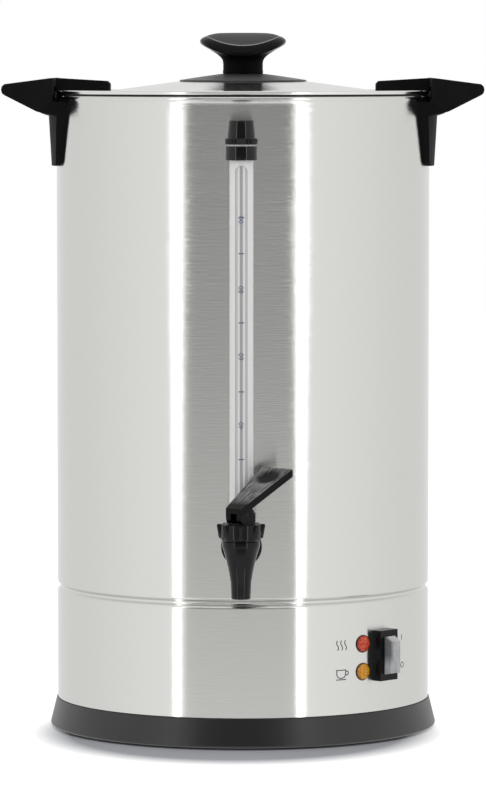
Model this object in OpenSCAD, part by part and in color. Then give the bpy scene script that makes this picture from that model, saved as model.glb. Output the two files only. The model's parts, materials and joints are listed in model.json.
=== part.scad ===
// Percolator urn with a front tap, a sight gauge, a twist-lock lid, a rocker switch and two lamps.
// Millimetres. Origin on the vessel's axis at the surface it stands on, +Z up, tap towards -Y.

/* [Vessel] */
// Outer radius of the steel body
body_r = 137.5; // [125:0.5:150]
// Thickness of the steel body
body_wall = 0.8; // [0.6:0.1:1.2]
// Height of the body from its lower edge to the middle of its rim bead
body_h = 442.7; // [420:0.1:480]
// Radius of the rolled rim bead
rim_bead_r = 2; // [1.5:0.1:2.5]
// Height of the rolled groove above the body's lower edge
groove_up = 82.6; // [72:0.1:90]
// Radius of the rolled groove
groove_r = 2.4; // [1.6:0.1:3]
// Thickness of the tank floor
floor_t = 0.8; // [0.6:0.1:1.5]
// Height of the tank floor's lip
floor_lip_h = 8; // [5:0.5:14]
// Radius of the pump well in the tank floor
well_r = 27; // [25:0.5:29]
// Depth of the pump well
well_depth = 10; // [7:0.5:14]

/* [Base] */
// Height of the base ring's top, where the body stands
base_h = 22.4; // [18:0.1:30]
// How far the base ring flares out at its foot
base_flare = 4.8; // [2:0.1:8]
// Height of the base ring's spigot inside the body
spigot_h = 8; // [5:0.5:14]
// Wall of the spigot and inner flange
base_wall = 2.5; // [2:0.1:4]
// Reach of the base ring's inner flange
base_flange_w = 12; // [8:0.5:20]
// How far the foot ring stands below the base ring
foot_proud = 1.5; // [1:0.1:2.5]
// Thickness of the foot ring under the cover
foot_h = 4.5; // [4:0.1:6]
// Width of the foot ring
foot_w = 7; // [5:0.5:12]
// Thickness of the bottom cover
cover_t = 2.5; // [2:0.1:4]
// Radius of the circle of tie studs
tie_circle_r = 100; // [90:1:108]
// Radius of a tie stud
tie_r = 2; // [1.5:0.1:2.5]

/* [Heating] */
// Radius of the heat plate
plate_r = 68; // [62:1:80]
// Thickness of the heat plate
plate_t = 3; // [2:0.5:5]
// Radius of the heating coil's bend
coil_bend_r = 52; // [51:0.5:57]
// Radius of the heating tube
coil_r = 4; // [3:0.1:4.4]
// Radius of a disc thermostat's can
can_r = 7.8; // [6:0.1:8]
// Height of a disc thermostat's can
can_h = 10; // [8:0.5:14]
// Radius of a wire
wire_r = 1.2; // [0.8:0.1:1.6]

/* [Lid] */
// Gap between rim and lid, filled by the gasket
seal_t = 1; // [0.8:0.1:2]
// Radius of the lid's rolled edge
lid_roll_r = 1.35; // [1:0.05:1.8]
// Thickness of the lid sheet
lid_t = 0.8; // [0.6:0.1:1.2]
// Width of the flat brim
brim_w = 38.5; // [30:0.5:45]
// Rise of the lid from the brim to the knob plate
lid_rise = 7; // [4:0.5:12]
// Radius of the knob plate
plate_top_r = 46.8; // [35:0.1:60]
// Height of the knob plate's cone
plate_top_h = 4.5; // [3:0.1:8]
// Radius of the knob's stem
knob_stem_r = 14.8; // [10:0.1:15.5]
// Height of the knob above its plate
knob_h = 30.2; // [24:0.1:40]
// Radius of the knob
knob_r = 31.7; // [24:0.1:40]
// Radius of the knob's rounded edge
knob_edge_r = 3.5; // [2.5:0.1:5]

/* [Lid lugs] */
// Length of a lug on the brim
lug_l = 40.5; // [30:0.1:42]
// Half width of a lug
lug_half_w = 18; // [14:0.5:22]
// Height of a lug at the handle
lug_h = 9; // [7:0.1:12]
// Fall of a lug's top towards the knob
lug_fall = 2.3; // [0:0.1:4]
// Half angle of the locking tongue
tongue_half_a = 7; // [5:0.5:8]
// Reach of the locking tongue past the rim
tongue_l = 8.4; // [6:0.1:9]
// Thickness of the locking tongue
tongue_t = 3; // [2:0.1:4]

/* [Handles] */
// How far a handle stands out from the body
handle_out = 39.2; // [36:0.1:56]
// Height of a handle's peak above the rim bead's middle
handle_peak = 14.7; // [13:0.1:18]
// Height of a handle's tip above the rim bead's middle
handle_tip_up = 10.3; // [9:0.1:12]
// Thickness of a handle's tip
handle_tip_t = 8.2; // [6:0.1:9]
// Half width of a handle at the body
handle_half_w = 54; // [48:0.5:60]
// Half width of a handle at its tip
handle_tip_half_w = 36; // [28:0.5:48]
// Length of the leg below the rim bead's middle
leg_l = 49.6; // [44:0.1:56]
// Thickness of the leg where it leaves the wing
leg_t = 5.8; // [5:0.1:8]
// Thickness of the leg at its lower end
leg_end_t = 3.7; // [3.4:0.1:5]
// Wall of the handle round its finger pocket
handle_wall = 4; // [3:0.1:5]

/* [Tap] */
// Height of the tap's shank above the floor groove
tap_up = 41.6; // [36:0.1:60]
// Distance from the body to the tap's upright axis
tap_out = 50; // [49:0.1:58]
// Radius of the shank
shank_r = 8.5; // [7.5:0.1:9]
// Radius of the water way
water_r = 3.2; // [2.5:0.1:3.4]
// Radius of the tap's valve chamber
chamber_r = 9; // [8.6:0.1:9.6]
// Radius of the tap body's collar
collar_r = 13.3; // [13:0.05:14]
// Length of the spout below the shank's axis
spout_l = 32.5; // [24:0.1:40]
// Radius of the spout's mouth
spout_r = 6.7; // [5.5:0.1:7.2]
// Radius of the spout's bore
spout_bore_r = 4; // [3:0.1:5]
// Radius of the bonnet
bonnet_r = 14.5; // [13.8:0.1:17]
// Height of the bonnet
bonnet_h = 11.2; // [10:0.1:14]
// Number of ribs round the bonnet
bonnet_ribs = 8; // [4:1:12]
// Radius of the valve stem
stem_r = 2.5; // [2:0.1:2.8]
// Direction of the lever, counted from the right towards the back
lever_a = 50; // [20:1:50]
// Length of the lever from its pin to its tip
lever_l = 39.4; // [34:0.1:44]
// Slope of the lever's paddle
lever_slope = 28.3; // [25:0.1:40]
// Half width of the paddle at its tip
paddle_half_w = 14.2; // [10:0.1:14.5]
// Thickness of the paddle
paddle_t = 5; // [4:0.1:6]

/* [Sight gauge] */
// Distance from the body to the gauge tube's axis
gauge_out = 13; // [12.5:0.1:15]
// Outer radius of the gauge tube
tube_r = 8.8; // [7.5:0.1:8.9]
// Radius of the gauge tube's bore
tube_bore_r = 3; // [2.6:0.1:5]
// Distance from the rim bead's middle down to the gauge bracket's middle
gauge_down = 38; // [30:0.1:50]
// Height of the bracket's sleeve
sleeve_h = 9.9; // [8:0.1:14]
// Wall of the sleeve
sleeve_wall = 2.5; // [2:0.1:3.2]
// Thickness of the white washer
gauge_washer_t = 1.3; // [1:0.1:2.5]
// Radius of the white washer
gauge_washer_r = 10; // [9.4:0.1:11]
// Height of the cap's gripping band
cap_band_h = 4.2; // [3:0.1:6]
// Height of the cap's cone
cap_cone_h = 12.7; // [9:0.1:16]

/* [Switch and lamps] */
// Angle of the switch round the body from the tap
switch_a = 47.5; // [46:0.1:60]
// Height of the switch's middle above the body's lower edge
switch_up = 41; // [34:0.1:44]
// Width of the switch housing
switch_w = 18.6; // [17.5:0.1:22]
// Height of the switch housing
switch_h = 36.6; // [34:0.1:40]
// How far the switch housing stands proud
switch_proud = 7; // [6:0.1:10]
// Width of the rocker
rocker_w = 8.4; // [7:0.1:8.6]
// Radius of the rocker's swing
rocker_swing_r = 12.6; // [11:0.1:12.8]
// Tilt of the rocker to either side
rocker_tilt = 9; // [6:0.5:10]
// Width of the clear boot over the rocker
boot_w = 10.4; // [10.2:0.1:12]
// Height of the clear boot
boot_h = 27.5; // [27.4:0.1:30]
// How far the boot stands out from the housing
boot_out = 6.2; // [6:0.1:8]
// Wall of the boot
boot_wall = 0.6; // [0.4:0.1:0.6]
// Angle of the lamps round the body from the tap
lamp_a = 39.4; // [30:0.1:39.4]
// Distance between the lamps
lamp_pitch = 20.2; // [18:0.1:26]
// Radius of a lamp's bezel
lamp_r = 6.5; // [6:0.1:8]

/* [Power inlet] */
// Height of the inlet's middle above the body's lower edge
inlet_up = 41; // [30:0.1:46]
// Width of the inlet's socket, a standard size
socket_w = 24; // [24:0.1:24.4]
// Height of the inlet's socket, a standard size
socket_h = 16.5; // [16.5:0.1:17]
// Depth of the inlet's socket, a standard size
socket_depth = 16; // [15:0.1:17]
// Distance between the inlet's screws
inlet_pitch = 40; // [38:0.1:44]

/* [Percolator] */
// Radius of the coffee basket
basket_r = 95; // [80:0.5:110]
// Height of the coffee basket
basket_h = 75; // [50:0.5:85]
// Distance from the rim bead's middle down to the basket's floor
basket_down = 131; // [120:0.5:150]
// Radius of the percolator stem
perc_r = 5; // [4:0.1:6]
// Distance from the rim bead's middle down to the stem's mouth
perc_down = 21; // [15:0.5:40]

/* [Hidden] */
$fn = 96;
eps = 0.01;          // overcut of a hole past its faces
fit = 0.05;          // radial clearance of a shaft in its bore, and of a joint's sliding faces
slack = 0.3;         // clearance between parts that only lie side by side
far = 400;           // longer than any cut through the vessel

// Heights of the vessel
rim_z = base_h + body_h;
rim_top = rim_z + rim_bead_r;
inner_r = body_r - body_wall;
rim_bead_c = inner_r - slack - 0.1;
rim_out_r = rim_bead_c + rim_bead_r;
groove_z = base_h + groove_up;
bead_r = groove_r + body_wall;
floor_z = groove_z + bead_r;
floor_top = floor_z + floor_t;
floor_r = inner_r - 0.1;

// Base
base_bottom = foot_proud;
cover_z = foot_h;
cover_top = cover_z + cover_t;
base_r = body_r + 0.6;
skirt_in_r = body_r - 3;
toe_cut = 1.2;
spigot_r = inner_r - slack;
cover_r = skirt_in_r - slack;
foot_r = cover_r - 1.2;
tie_angles = [30, 150, 270];
tie_nut_h = 3.2;
tie_nut_r = 2 * tie_r;
vent_count = 12;
vent_r = 2.5;
vent_circle_r = 60;

// Heating
plate_in_r = well_r + floor_t + 0.5;
plate_z = floor_z - plate_t;
coil_z = plate_z - coil_r - slack;
coil_sweep = 330;
coil_leg_r = coil_r + 0.2;
coil_leg_h = 22;
coil_pin_r = 1.6;
coil_pin_h = 8;
can_circle_r = (plate_in_r + coil_bend_r - coil_r) / 2;
blade_w = 5;
blade_t = 0.8;
blade_l = 8;
blade_off = 4;
block_y = 79;
block_w = 48;
block_d = 18;
block_h = 16;
block_top = cover_top + block_h;

// Lid
lid_z = rim_top + seal_t;
lid_roll_c = body_r - lid_roll_r;
brim_top = lid_z + 2 * lid_roll_r - 0.5;
dome_r = body_r - brim_w;
plate_edge_z = brim_top + lid_rise;
dome_top_r = 40;
dome_slope = lid_rise / (dome_r - plate_top_r);
dome_top_z = plate_edge_z + dome_slope * (plate_top_r - dome_top_r);
knob_plate_top = plate_edge_z + plate_top_h + 1;
knob_screw_r = 2.5;
knob_top = knob_plate_top + knob_h;
gasket_in_r = inner_r - 5.2;
gasket_lip_w = 1.8;
gasket_lip_h = 8;

// Lugs and the handles' lock slots
lug_out_r = rim_out_r + 0.1;
lug_in_x = lug_out_r - lug_l;
lug_base_z = brim_top + fit;
lug_top = lid_z + 2 * lid_roll_r + lug_h;
lug_nose = 2;
lug_cut = 4;
lock_in_r = lug_out_r + 0.5;
lock_out_r = lug_out_r + tongue_l + 1.4;
tongue_out_r = lug_out_r + tongue_l + 0.8;
tongue_in_r = rim_out_r + 0.9;
tongue_z = rim_z - 1.6;
foot_top = tongue_z + tongue_t;
riser_r = tongue_in_r + 2.6;
tongue_top = lid_z + 2 * lid_roll_r + tongue_t;
slot_z = tongue_z - 1;
slot_step = foot_top + 0.8;
slot_top = tongue_top + 0.6;
lock_turn = 10;
slot_open_a = 34;
notch_half_a = tongue_half_a + 0.8;
notch_out_r = lock_out_r + 0.5;
rivet_r = 2;
rivet_head_r = 4;
rivet_xs = [lug_in_x + 11, lug_in_x + 27];

// Handles
handle_reach = body_r + handle_out;
peak_z = rim_z + handle_peak;
tip_top = rim_z + handle_tip_up;
tip_bottom = tip_top - handle_tip_t;
wing_low_z = rim_z - 13;
wing_wide_z = rim_z - 1.3;
leg_bottom = rim_z - leg_l;
wing_half_w = 46.5;
leg_end_half_w = 37.5;
leg_end_round = 8;
handle_in_x = sqrt(body_r * body_r - handle_half_w * handle_half_w) - 2;
lock_z = rim_z - rim_bead_r - 0.8;
tip_round = 2.6;
peak_out = 2.8;
underside = (tip_bottom - wing_low_z) / (handle_reach - tip_round - body_r - leg_t);
pocket_in_r = lock_out_r + 3.2;
pocket_out_r = handle_reach - handle_wall - 1.6;
handle_screw_r = 2;
handle_head_r = 3.8;
handle_head_h = 2.4;
screw_seat = body_r + leg_end_t - handle_head_h + 0.6;
handle_screw_zs = [rim_z - 36.3, rim_z - 21.3];
handle_nut_h = 3.2;
handle_screw_tail = 8;
handle_nut_r = 4.2;

// Tap
tap_z = groove_z + tap_up;
tap_y = -(body_r + tap_out);
gauge_y = -(body_r + gauge_out);
gasket_t = 2.5;
flange_r = 14.6;
flange_t = 3;
flange_y = -(body_r + gasket_t);
gasket_r = 13.4;
nut_r = 14;
nut_h = 6;
nut_y = -(inner_r - 4.7);
shank_end_y = nut_y + nut_h + 4;
socket_r = min(tube_r + 1.9, gauge_out - gasket_t - 0.1);
socket_floor = tap_z + shank_r + 0.9;
socket_top = tap_z + 25.2;
seat_z = tap_z - 3.3;
collar_z = tap_z + 4.8;
collar_top = collar_z + 3.6;
neck_r = collar_r - 1.35;
neck_top = tap_z + 14.2;
bonnet_z = collar_top + 1.1;
bonnet_top = bonnet_z + bonnet_h;
plug_z = tap_z + 9.7;
rib_w = 2.4;
rib_out = 2.5;
washer_t = 0.4;
washer_r = 7;
cup_r = chamber_r - 1.4;
cup_h = 7.9;
cup_z = seat_z + 0.1;
pin_up = 6.5;
pin_z = bonnet_top + pin_up;
pin_r = 1.25;
eye_r = 3;
eye_half_w = 2.6;

// Lever, in its own u (along), v (across), w (up) with the pin at the origin
block_half_l = 8.1;
block_half_w = 7;
block_low = pin_up - 0.5;
block_back = 7.4;
block_back_low = 6.8;
block_neck = 4;
cam_off = 5;
cam_r = block_half_l - cam_off;
pin_half_l = block_half_w - 0.3;
paddle_root_w = 4.8;
paddle_tip_w = paddle_root_w + (lever_l + block_half_l) * tan(lever_slope);
paddle_drop = paddle_t / cos(lever_slope);
paddle_under = paddle_root_w + (block_half_l + block_neck) * tan(lever_slope) - paddle_drop;
fork_half_w = eye_half_w + 0.2;
dimple_r = 26;
dimple_depth = 2;
dimple_back = 9.5;
paddle_corner = 2;

// Gauge
gauge_z = rim_z - gauge_down;
sleeve_r = tube_r + sleeve_wall;
sleeve_z = gauge_z - sleeve_h / 2;
sleeve_top = sleeve_z + sleeve_h;
cap_z = sleeve_top + gauge_washer_t;
cap_band_top = cap_z + cap_band_h;
cap_top = cap_band_top + cap_cone_h;
cap_cone_r = sleeve_r - 1.2;
cap_end_r = sleeve_r - 2.5;
seal_h = 2;
tube_z = socket_floor + seal_h;
tube_top = cap_band_top + 1.5;
bore_top = sleeve_z - 4.1;
vent_hole_r = 0.6;
cap_flutes = 12;
arm_half_w = 7;
arm_h = 8;
bracket_foot_r = 9;
bracket_foot_t = gauge_out - sleeve_r - slack;
bracket_stud_r = 3;
bracket_nut_r = 6;
bracket_nut_h = 4;

// Switch and lamps
switch_z = base_h + switch_up;
switch_depth = 14;
switch_body_w = 15;
switch_body_h = 33;
pivot_out = switch_proud - 3.5;
pivot_r = 1.5;
pivot_half_l = rocker_w / 2 + 1.5;
rocker_valley = 4;
rocker_v_slope = tan(10);
rocker_under = 4;
cavity_back = -3.5;
boot_slope = 3.4;
boot_toe = 1.2;
lamp_zs = [switch_z + lamp_pitch / 2 - 0.8, switch_z - lamp_pitch / 2 - 0.8];
lamp_body_r = 5;
lamp_body_l = 12;
lamp_lens_r = 4.5;
lamp_flange_t = 0.9;
lens_cap_r = lamp_r - 0.5;
lens_seat = 6;

// Power inlet
inlet_z = base_h + inlet_up;
inlet_flange_w = inlet_pitch + 10;
inlet_flange_h = socket_h + 7.5;
inlet_flange_t = 2.5;
inlet_body_w = socket_w + 3.5;
inlet_body_h = socket_h + 3.5;
inlet_body_l = 22;
socket_chamfer = 4;
blade_places = [[-7, -3], [0, 1], [7, -3]];
inlet_blade = [2, 4];
inlet_blade_l = 22;
inlet_screw_r = 1.5;
inlet_head_r = 2.8;
inlet_head_h = 1.8;

// Percolator
basket_z = rim_z - basket_down;
basket_t = 1;
basket_rim_w = 2;
perc_bore_r = perc_r - 1.4;
perc_top = rim_z - perc_down;
pump_r = well_r - 3;
well_z = floor_z - well_depth;
pump_z = well_z + 0.1;
collar_h = 4;
collar_out_r = perc_r + 4;
pump_lip_h = 2.5;
pump_cone_h = 13;
pump_base_h = 22;
sleeve_gap = 0.4;

black = [0.05, 0.05, 0.055];
steel = [0.78, 0.78, 0.76];
brass = [0.72, 0.55, 0.25];
silicone = [0.85, 0.85, 0.82];
clear = [0.85, 0.9, 0.92, 0.4];

// Places its children on the wall at an angle from the tap: X right, Y up, Z out of the wall
module on_wall(a, z) {
    rotate([0, 0, a]) translate([0, -body_r, z]) rotate([90, 0, 0]) children();
}

// The vessel's outer cylinder as seen from a place on the wall, to shape what lies against it
module wall_curve(r) {
    translate([0, 0, -body_r]) rotate([90, 0, 0]) cylinder(r = r, h = far, center = true, $fn = 180);
}

// Turns a profile drawn in (Y, Z) into a bar along X
module along_x(l) {
    rotate([90, 0, 90]) linear_extrude(height = l, center = true) children();
}

module ring(r_out, r_in, h) {
    difference() {
        cylinder(r = r_out, h = h);
        translate([0, 0, -1]) cylinder(r = r_in, h = h + 2);
    }
}

module hex(r, h) {
    cylinder(r = r, h = h, $fn = 6);
}

// Box between two corners
module block(low, high) {
    translate(low) cube(high - low);
}

// ---------------------------------------------------------------- vessel

module body_profile() {
    difference() {
        union() {
            translate([inner_r, base_h]) square([body_wall, body_h]);
            translate([body_r, groove_z]) circle(r = bead_r);
            translate([rim_bead_c, rim_z]) circle(r = rim_bead_r);
        }
        translate([body_r, groove_z]) circle(r = groove_r);
        translate([body_r, groove_z - bead_r - 1]) square([bead_r + 1, 2 * bead_r + 2]);
    }
}

module body_shell() color(steel) difference() {
    rotate_extrude($fn = 180) body_profile();
    on_wall(0, tap_z) translate([0, 0, -10]) cylinder(r = shank_r + fit, h = 20);
    on_wall(0, gauge_z) translate([0, 0, -10]) cylinder(r = bracket_stud_r + fit, h = 20);
    for (side = [90, -90], z = handle_screw_zs)
        on_wall(side, z) translate([0, 0, -10]) cylinder(r = handle_screw_r + fit, h = 20);
    for (z = lamp_zs)
        on_wall(lamp_a, z) translate([0, 0, -10]) cylinder(r = lamp_body_r + fit, h = 20);
    on_wall(switch_a, switch_z)
        cube([switch_body_w + 2 * fit, switch_body_h + 2 * fit, 20], center = true);
    on_wall(180, inlet_z)
        cube([inlet_body_w + 2 * fit, inlet_body_h + 2 * fit, 20], center = true);
    for (x = [-1, 1]) on_wall(180, inlet_z)
        translate([x * inlet_pitch / 2, 0, -10]) cylinder(r = inlet_screw_r + fit, h = 20);
}

module tank_floor() color(steel) rotate_extrude($fn = 180) {
    translate([well_r, floor_z]) square([floor_r - well_r, floor_t]);
    translate([floor_r - floor_t, floor_z]) square([floor_t, floor_lip_h]);
    translate([well_r, well_z - floor_t]) square([floor_t, well_depth + 2 * floor_t]);
    translate([0, well_z - floor_t]) square([well_r + floor_t, floor_t]);
}

// ---------------------------------------------------------------- base

module base_ring() color(black) rotate_extrude($fn = 180) {
    polygon([[skirt_in_r, base_bottom], [base_r + base_flare - toe_cut, base_bottom],
             [base_r + base_flare, base_bottom + toe_cut], [base_r, base_h], [skirt_in_r, base_h]]);
    translate([spigot_r - base_wall, cover_top]) square([base_wall, base_h + spigot_h - cover_top]);
    translate([skirt_in_r - base_flange_w, cover_top]) square([base_flange_w + 1, base_wall]);
}

module bottom_cover() color(black) difference() {
    translate([0, 0, cover_z]) cylinder(r = cover_r, h = cover_t, $fn = 180);
    for (a = tie_angles) rotate([0, 0, a])
        translate([tie_circle_r, 0, cover_z - 1]) cylinder(r = tie_r + 2 * fit, h = cover_t + 2);
    for (i = [0 : vent_count - 1]) rotate([0, 0, i * 360 / vent_count])
        translate([vent_circle_r, 0, cover_z - 1]) cylinder(r = vent_r, h = cover_t + 2);
}

module foot_ring() color([0.12, 0.12, 0.12]) ring(foot_r, foot_r - foot_w, foot_h);

module tie_studs() color(steel) for (a = tie_angles) rotate([0, 0, a])
    translate([tie_circle_r, 0, 1]) cylinder(r = tie_r, h = floor_z - 1);

module stud_nuts() color(steel) for (a = tie_angles) rotate([0, 0, a])
    translate([tie_circle_r, 0, cover_z - tie_nut_h]) difference() {
        hex(tie_nut_r, tie_nut_h);
        translate([0, 0, -1]) cylinder(r = tie_r + fit, h = tie_nut_h + 2);
    }

// ---------------------------------------------------------------- heating

module heat_plate() color([0.7, 0.71, 0.72])
    translate([0, 0, plate_z]) ring(plate_r, plate_in_r, plate_t);

coil_end_a = (360 - coil_sweep) / 2;

module heating_element() color([0.5, 0.5, 0.5]) {
    rotate([0, 0, 90 + coil_end_a]) translate([0, 0, coil_z])
        rotate_extrude(angle = coil_sweep) translate([coil_bend_r, 0]) circle(r = coil_r);
    for (a = [90 + coil_end_a, 90 - coil_end_a]) rotate([0, 0, a])
        translate([coil_bend_r, 0, coil_z + coil_leg_r - coil_leg_h]) {
            cylinder(r = coil_leg_r, h = coil_leg_h);
            translate([0, 0, -coil_pin_h]) cylinder(r = coil_pin_r, h = coil_pin_h + 1);
        }
}

// A disc thermostat hanging from the heat plate
module disc_thermostat(a) {
    rotate([0, 0, a]) translate([can_circle_r, 0, plate_z - can_h]) {
        cylinder(r = can_r, h = can_h);
        for (side = [-1, 1])
            translate([0, side * blade_off, 1 - blade_l / 2])
                cube([blade_w, blade_t, blade_l + 2], center = true);
    }
}

module boil_thermostat() color([0.85, 0.83, 0.78]) disc_thermostat(-90);
module keep_warm_thermostat() color([0.85, 0.83, 0.78]) disc_thermostat(180);

fuse_r = 3;
module thermal_fuse() color(brass) {
    translate([can_circle_r, 0, plate_z - fuse_r]) rotate([90, 0, 0])
        cylinder(r = fuse_r, h = 16, center = true);
    translate([can_circle_r, 0, plate_z - fuse_r]) rotate([90, 0, 0])
        cylinder(r = 1, h = 30, center = true);
}

module terminal_block() color([0.9, 0.9, 0.86]) difference() {
    block([-block_w / 2, block_y - block_d / 2, cover_top],
          [block_w / 2, block_y + block_d / 2, block_top]);
    for (i = [-1.5 : 1 : 1.5], y = [-4.5, 4.5])
        translate([i * 12, block_y + y, block_top - 6]) cylinder(r = 2.2, h = 7);
}

// A wire through a list of points, in straight runs that overlap a little at each bend
module wire(points) {
    last = len(points) - 2;
    for (i = [0 : last]) {
        run = points[i + 1] - points[i];
        l = norm(run);
        before = i == 0 ? 0 : wire_r / 2;
        after = i == last ? 0 : wire_r / 2;
        translate(points[i]) rotate([0, acos(run[2] / l), atan2(run[1], run[0])])
            translate([0, 0, -before]) cylinder(r = wire_r, h = l + before + after, $fn = 8);
    }
}

leg_x = coil_bend_r * sin(coil_end_a);
leg_y = coil_bend_r * cos(coil_end_a);
leg_low = coil_z + coil_leg_r - coil_leg_h - coil_pin_h;
blade_low = plate_z - can_h - blade_l;
inlet_back = body_r - inlet_body_l - 4;
switch_back = body_r - switch_depth - 1.3;
wire_drop = 12;
wire_lead = 6;
wire_rise = 16;
switch_at = [switch_back * sin(switch_a), -switch_back * cos(switch_a), switch_z];

module wiring() color([0.35, 0.2, 0.1]) {
    for (side = [-1, 1]) wire([
        [7 * side, inlet_back, inlet_z - 3], [7 * side, inlet_back - wire_drop, inlet_z - 3],
        [6 * side, block_y, block_top + wire_rise], [6 * side, block_y, block_top + fit]
    ]);
    wire([[-leg_x, leg_y, leg_low - fit], [-leg_x, leg_y, leg_low - wire_drop],
          [-18, block_y, block_top + 10], [-18, block_y, block_top + fit]]);
    wire([[leg_x, leg_y, leg_low - fit], [leg_x, leg_y, leg_low - wire_lead],
          [leg_x + 16, leg_y - 30, leg_low - wire_rise],
          [blade_off, -can_circle_r, blade_low - 20], [blade_off, -can_circle_r, blade_low - fit]]);
    wire([[-blade_off, -can_circle_r, blade_low - fit], [-blade_off, -can_circle_r, blade_low - 14],
          [50, -64, switch_z - 12], switch_at + [0, 0, -5], switch_at + [0, 0, -4]]);
    wire([switch_at + [0, 0, 6], [100, -10, switch_z], [40, 60, block_top + 14],
          [18, block_y, block_top + 12], [18, block_y, block_top + fit]]);
}

// ---------------------------------------------------------------- power inlet

module socket_outline() {
    w = socket_w / 2;
    h = socket_h / 2;
    polygon([[-w, h], [w, h], [w, -h + socket_chamfer], [w - socket_chamfer, -h],
             [-w + socket_chamfer, -h], [-w, -h + socket_chamfer]]);
}

module inlet_blades() {
    for (p = blade_places)
        translate([p[0] - inlet_blade[0] / 2, p[1] - inlet_blade[1] / 2, -inlet_body_l - 4])
            cube([inlet_blade[0], inlet_blade[1], inlet_blade_l]);
}

module power_inlet() color(black) on_wall(180, inlet_z) difference() {
    union() {
        difference() {
            translate([-inlet_flange_w / 2, -inlet_flange_h / 2, -6])
                cube([inlet_flange_w, inlet_flange_h, 6 + inlet_flange_t]);
            wall_curve(body_r);
        }
        translate([-inlet_body_w / 2, -inlet_body_h / 2, -inlet_body_l])
            cube([inlet_body_w, inlet_body_h, inlet_body_l + 1]);
    }
    translate([0, 0, inlet_flange_t - socket_depth])
        linear_extrude(height = socket_depth + 1) socket_outline();
    inlet_blades();
    for (x = [-1, 1]) translate([x * inlet_pitch / 2, 0, -10])
        cylinder(r = inlet_screw_r + fit, h = 20);
}

module inlet_pins() color(brass) on_wall(180, inlet_z) inlet_blades();

module inlet_screws() color(steel) for (x = [-1, 1]) on_wall(180, inlet_z)
    translate([x * inlet_pitch / 2, 0, 0]) difference() {
        union() {
            translate([0, 0, inlet_flange_t]) cylinder(r = inlet_head_r, h = inlet_head_h);
            translate([0, 0, -8]) cylinder(r = inlet_screw_r, h = 8 + inlet_flange_t + 1);
        }
        translate([0, 0, inlet_flange_t + inlet_head_h]) cube([0.8, 4, 1.6], center = true);
        translate([0, 0, inlet_flange_t + inlet_head_h]) cube([4, 0.8, 1.6], center = true);
    }

// ---------------------------------------------------------------- switch and lamps

module switch_housing() color(black) on_wall(switch_a, switch_z) difference() {
    union() {
        difference() {
            translate([-switch_w / 2, -switch_h / 2, -3])
                cube([switch_w, switch_h, 3 + switch_proud]);
            wall_curve(body_r);
        }
        translate([-switch_body_w / 2, -switch_body_h / 2, -switch_depth])
            cube([switch_body_w, switch_body_h, switch_depth + 1]);
    }
    translate([-rocker_w / 2 - slack, -rocker_swing_r - slack, cavity_back])
        cube([rocker_w + 2 * slack, 2 * (rocker_swing_r + slack), far]);
    translate([0, 0, pivot_out]) rotate([0, 90, 0])
        cylinder(r = pivot_r + fit, h = 2 * pivot_half_l + 0.2, center = true);
}

module rocker_profile() {
    rise = rocker_v_slope * far;
    intersection() {
        circle(r = rocker_swing_r);
        polygon([[-far, -rocker_under], [far, -rocker_under], [far, rocker_valley + rise],
                 [0, rocker_valley], [-far, rocker_valley + rise]]);
    }
}

module switch_rocker() color(clear) on_wall(switch_a, switch_z)
    translate([0, 0, pivot_out]) rotate([rocker_tilt, 0, 0]) {
        along_x(rocker_w) rocker_profile();
        rotate([0, 90, 0]) cylinder(r = pivot_r, h = 2 * pivot_half_l, center = true);
    }

// The boot's section, drawn in (up, out) from the housing's face
module boot_profile(inset, foot) {
    up = boot_h / 2 - inset;
    polygon([[-up, foot], [-up + boot_toe, boot_out - inset], [up - boot_slope, boot_out - inset],
             [up, 1 - inset / 2], [up, foot]]);
}

module switch_boot() color(clear) on_wall(switch_a, switch_z) translate([0, 0, switch_proud])
    difference() {
        along_x(boot_w) boot_profile(0, 0);
        along_x(boot_w - 2 * boot_wall) boot_profile(boot_wall, -1);
    }

module lamp_bezel(z) on_wall(lamp_a, z) difference() {
    union() {
        difference() {
            translate([0, 0, -3]) cylinder(r = lamp_r, h = 3 + lamp_flange_t);
            wall_curve(body_r);
        }
        translate([0, 0, -lamp_body_l]) cylinder(r = lamp_body_r, h = lamp_body_l + lamp_flange_t / 2);
    }
    translate([0, 0, -lens_seat]) cylinder(r = lamp_lens_r + fit, h = far);
}

module lamp_lens(z) on_wall(lamp_a, z) {
    translate([0, 0, -lens_seat]) cylinder(r = lamp_lens_r, h = lens_seat + lamp_flange_t + 1);
    translate([0, 0, lamp_flange_t]) cylinder(r = lens_cap_r, h = 0.8);
    translate([0, 0, lamp_flange_t + 0.8]) cylinder(r1 = lens_cap_r - 0.3, r2 = lens_cap_r - 1.8, h = 1.3);
}

module heating_lamp_bezel() color(black) lamp_bezel(lamp_zs[0]);
module heating_lamp_lens() color([0.8, 0.2, 0.12]) lamp_lens(lamp_zs[0]);
module warm_lamp_bezel() color(black) lamp_bezel(lamp_zs[1]);
module warm_lamp_lens() color([0.95, 0.6, 0.1]) lamp_lens(lamp_zs[1]);

// ---------------------------------------------------------------- handles

// The handle's section in (X, Z): the wing above, room for the leg below
module handle_section() {
    x = body_r + leg_t + 0.5;
    polygon([[handle_in_x, leg_bottom - 1], [x, leg_bottom - 1], [x, wing_low_z + 0.5 * underside],
             [handle_reach - tip_round, tip_bottom],
             [handle_reach - 0.8, tip_bottom + 1.4], [handle_reach, tip_bottom + handle_tip_t / 2],
             [handle_reach - 0.7, tip_top - 1.6], [handle_reach - tip_round, tip_top],
             [body_r + peak_out, peak_z], [handle_in_x, peak_z]]);
}

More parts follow.
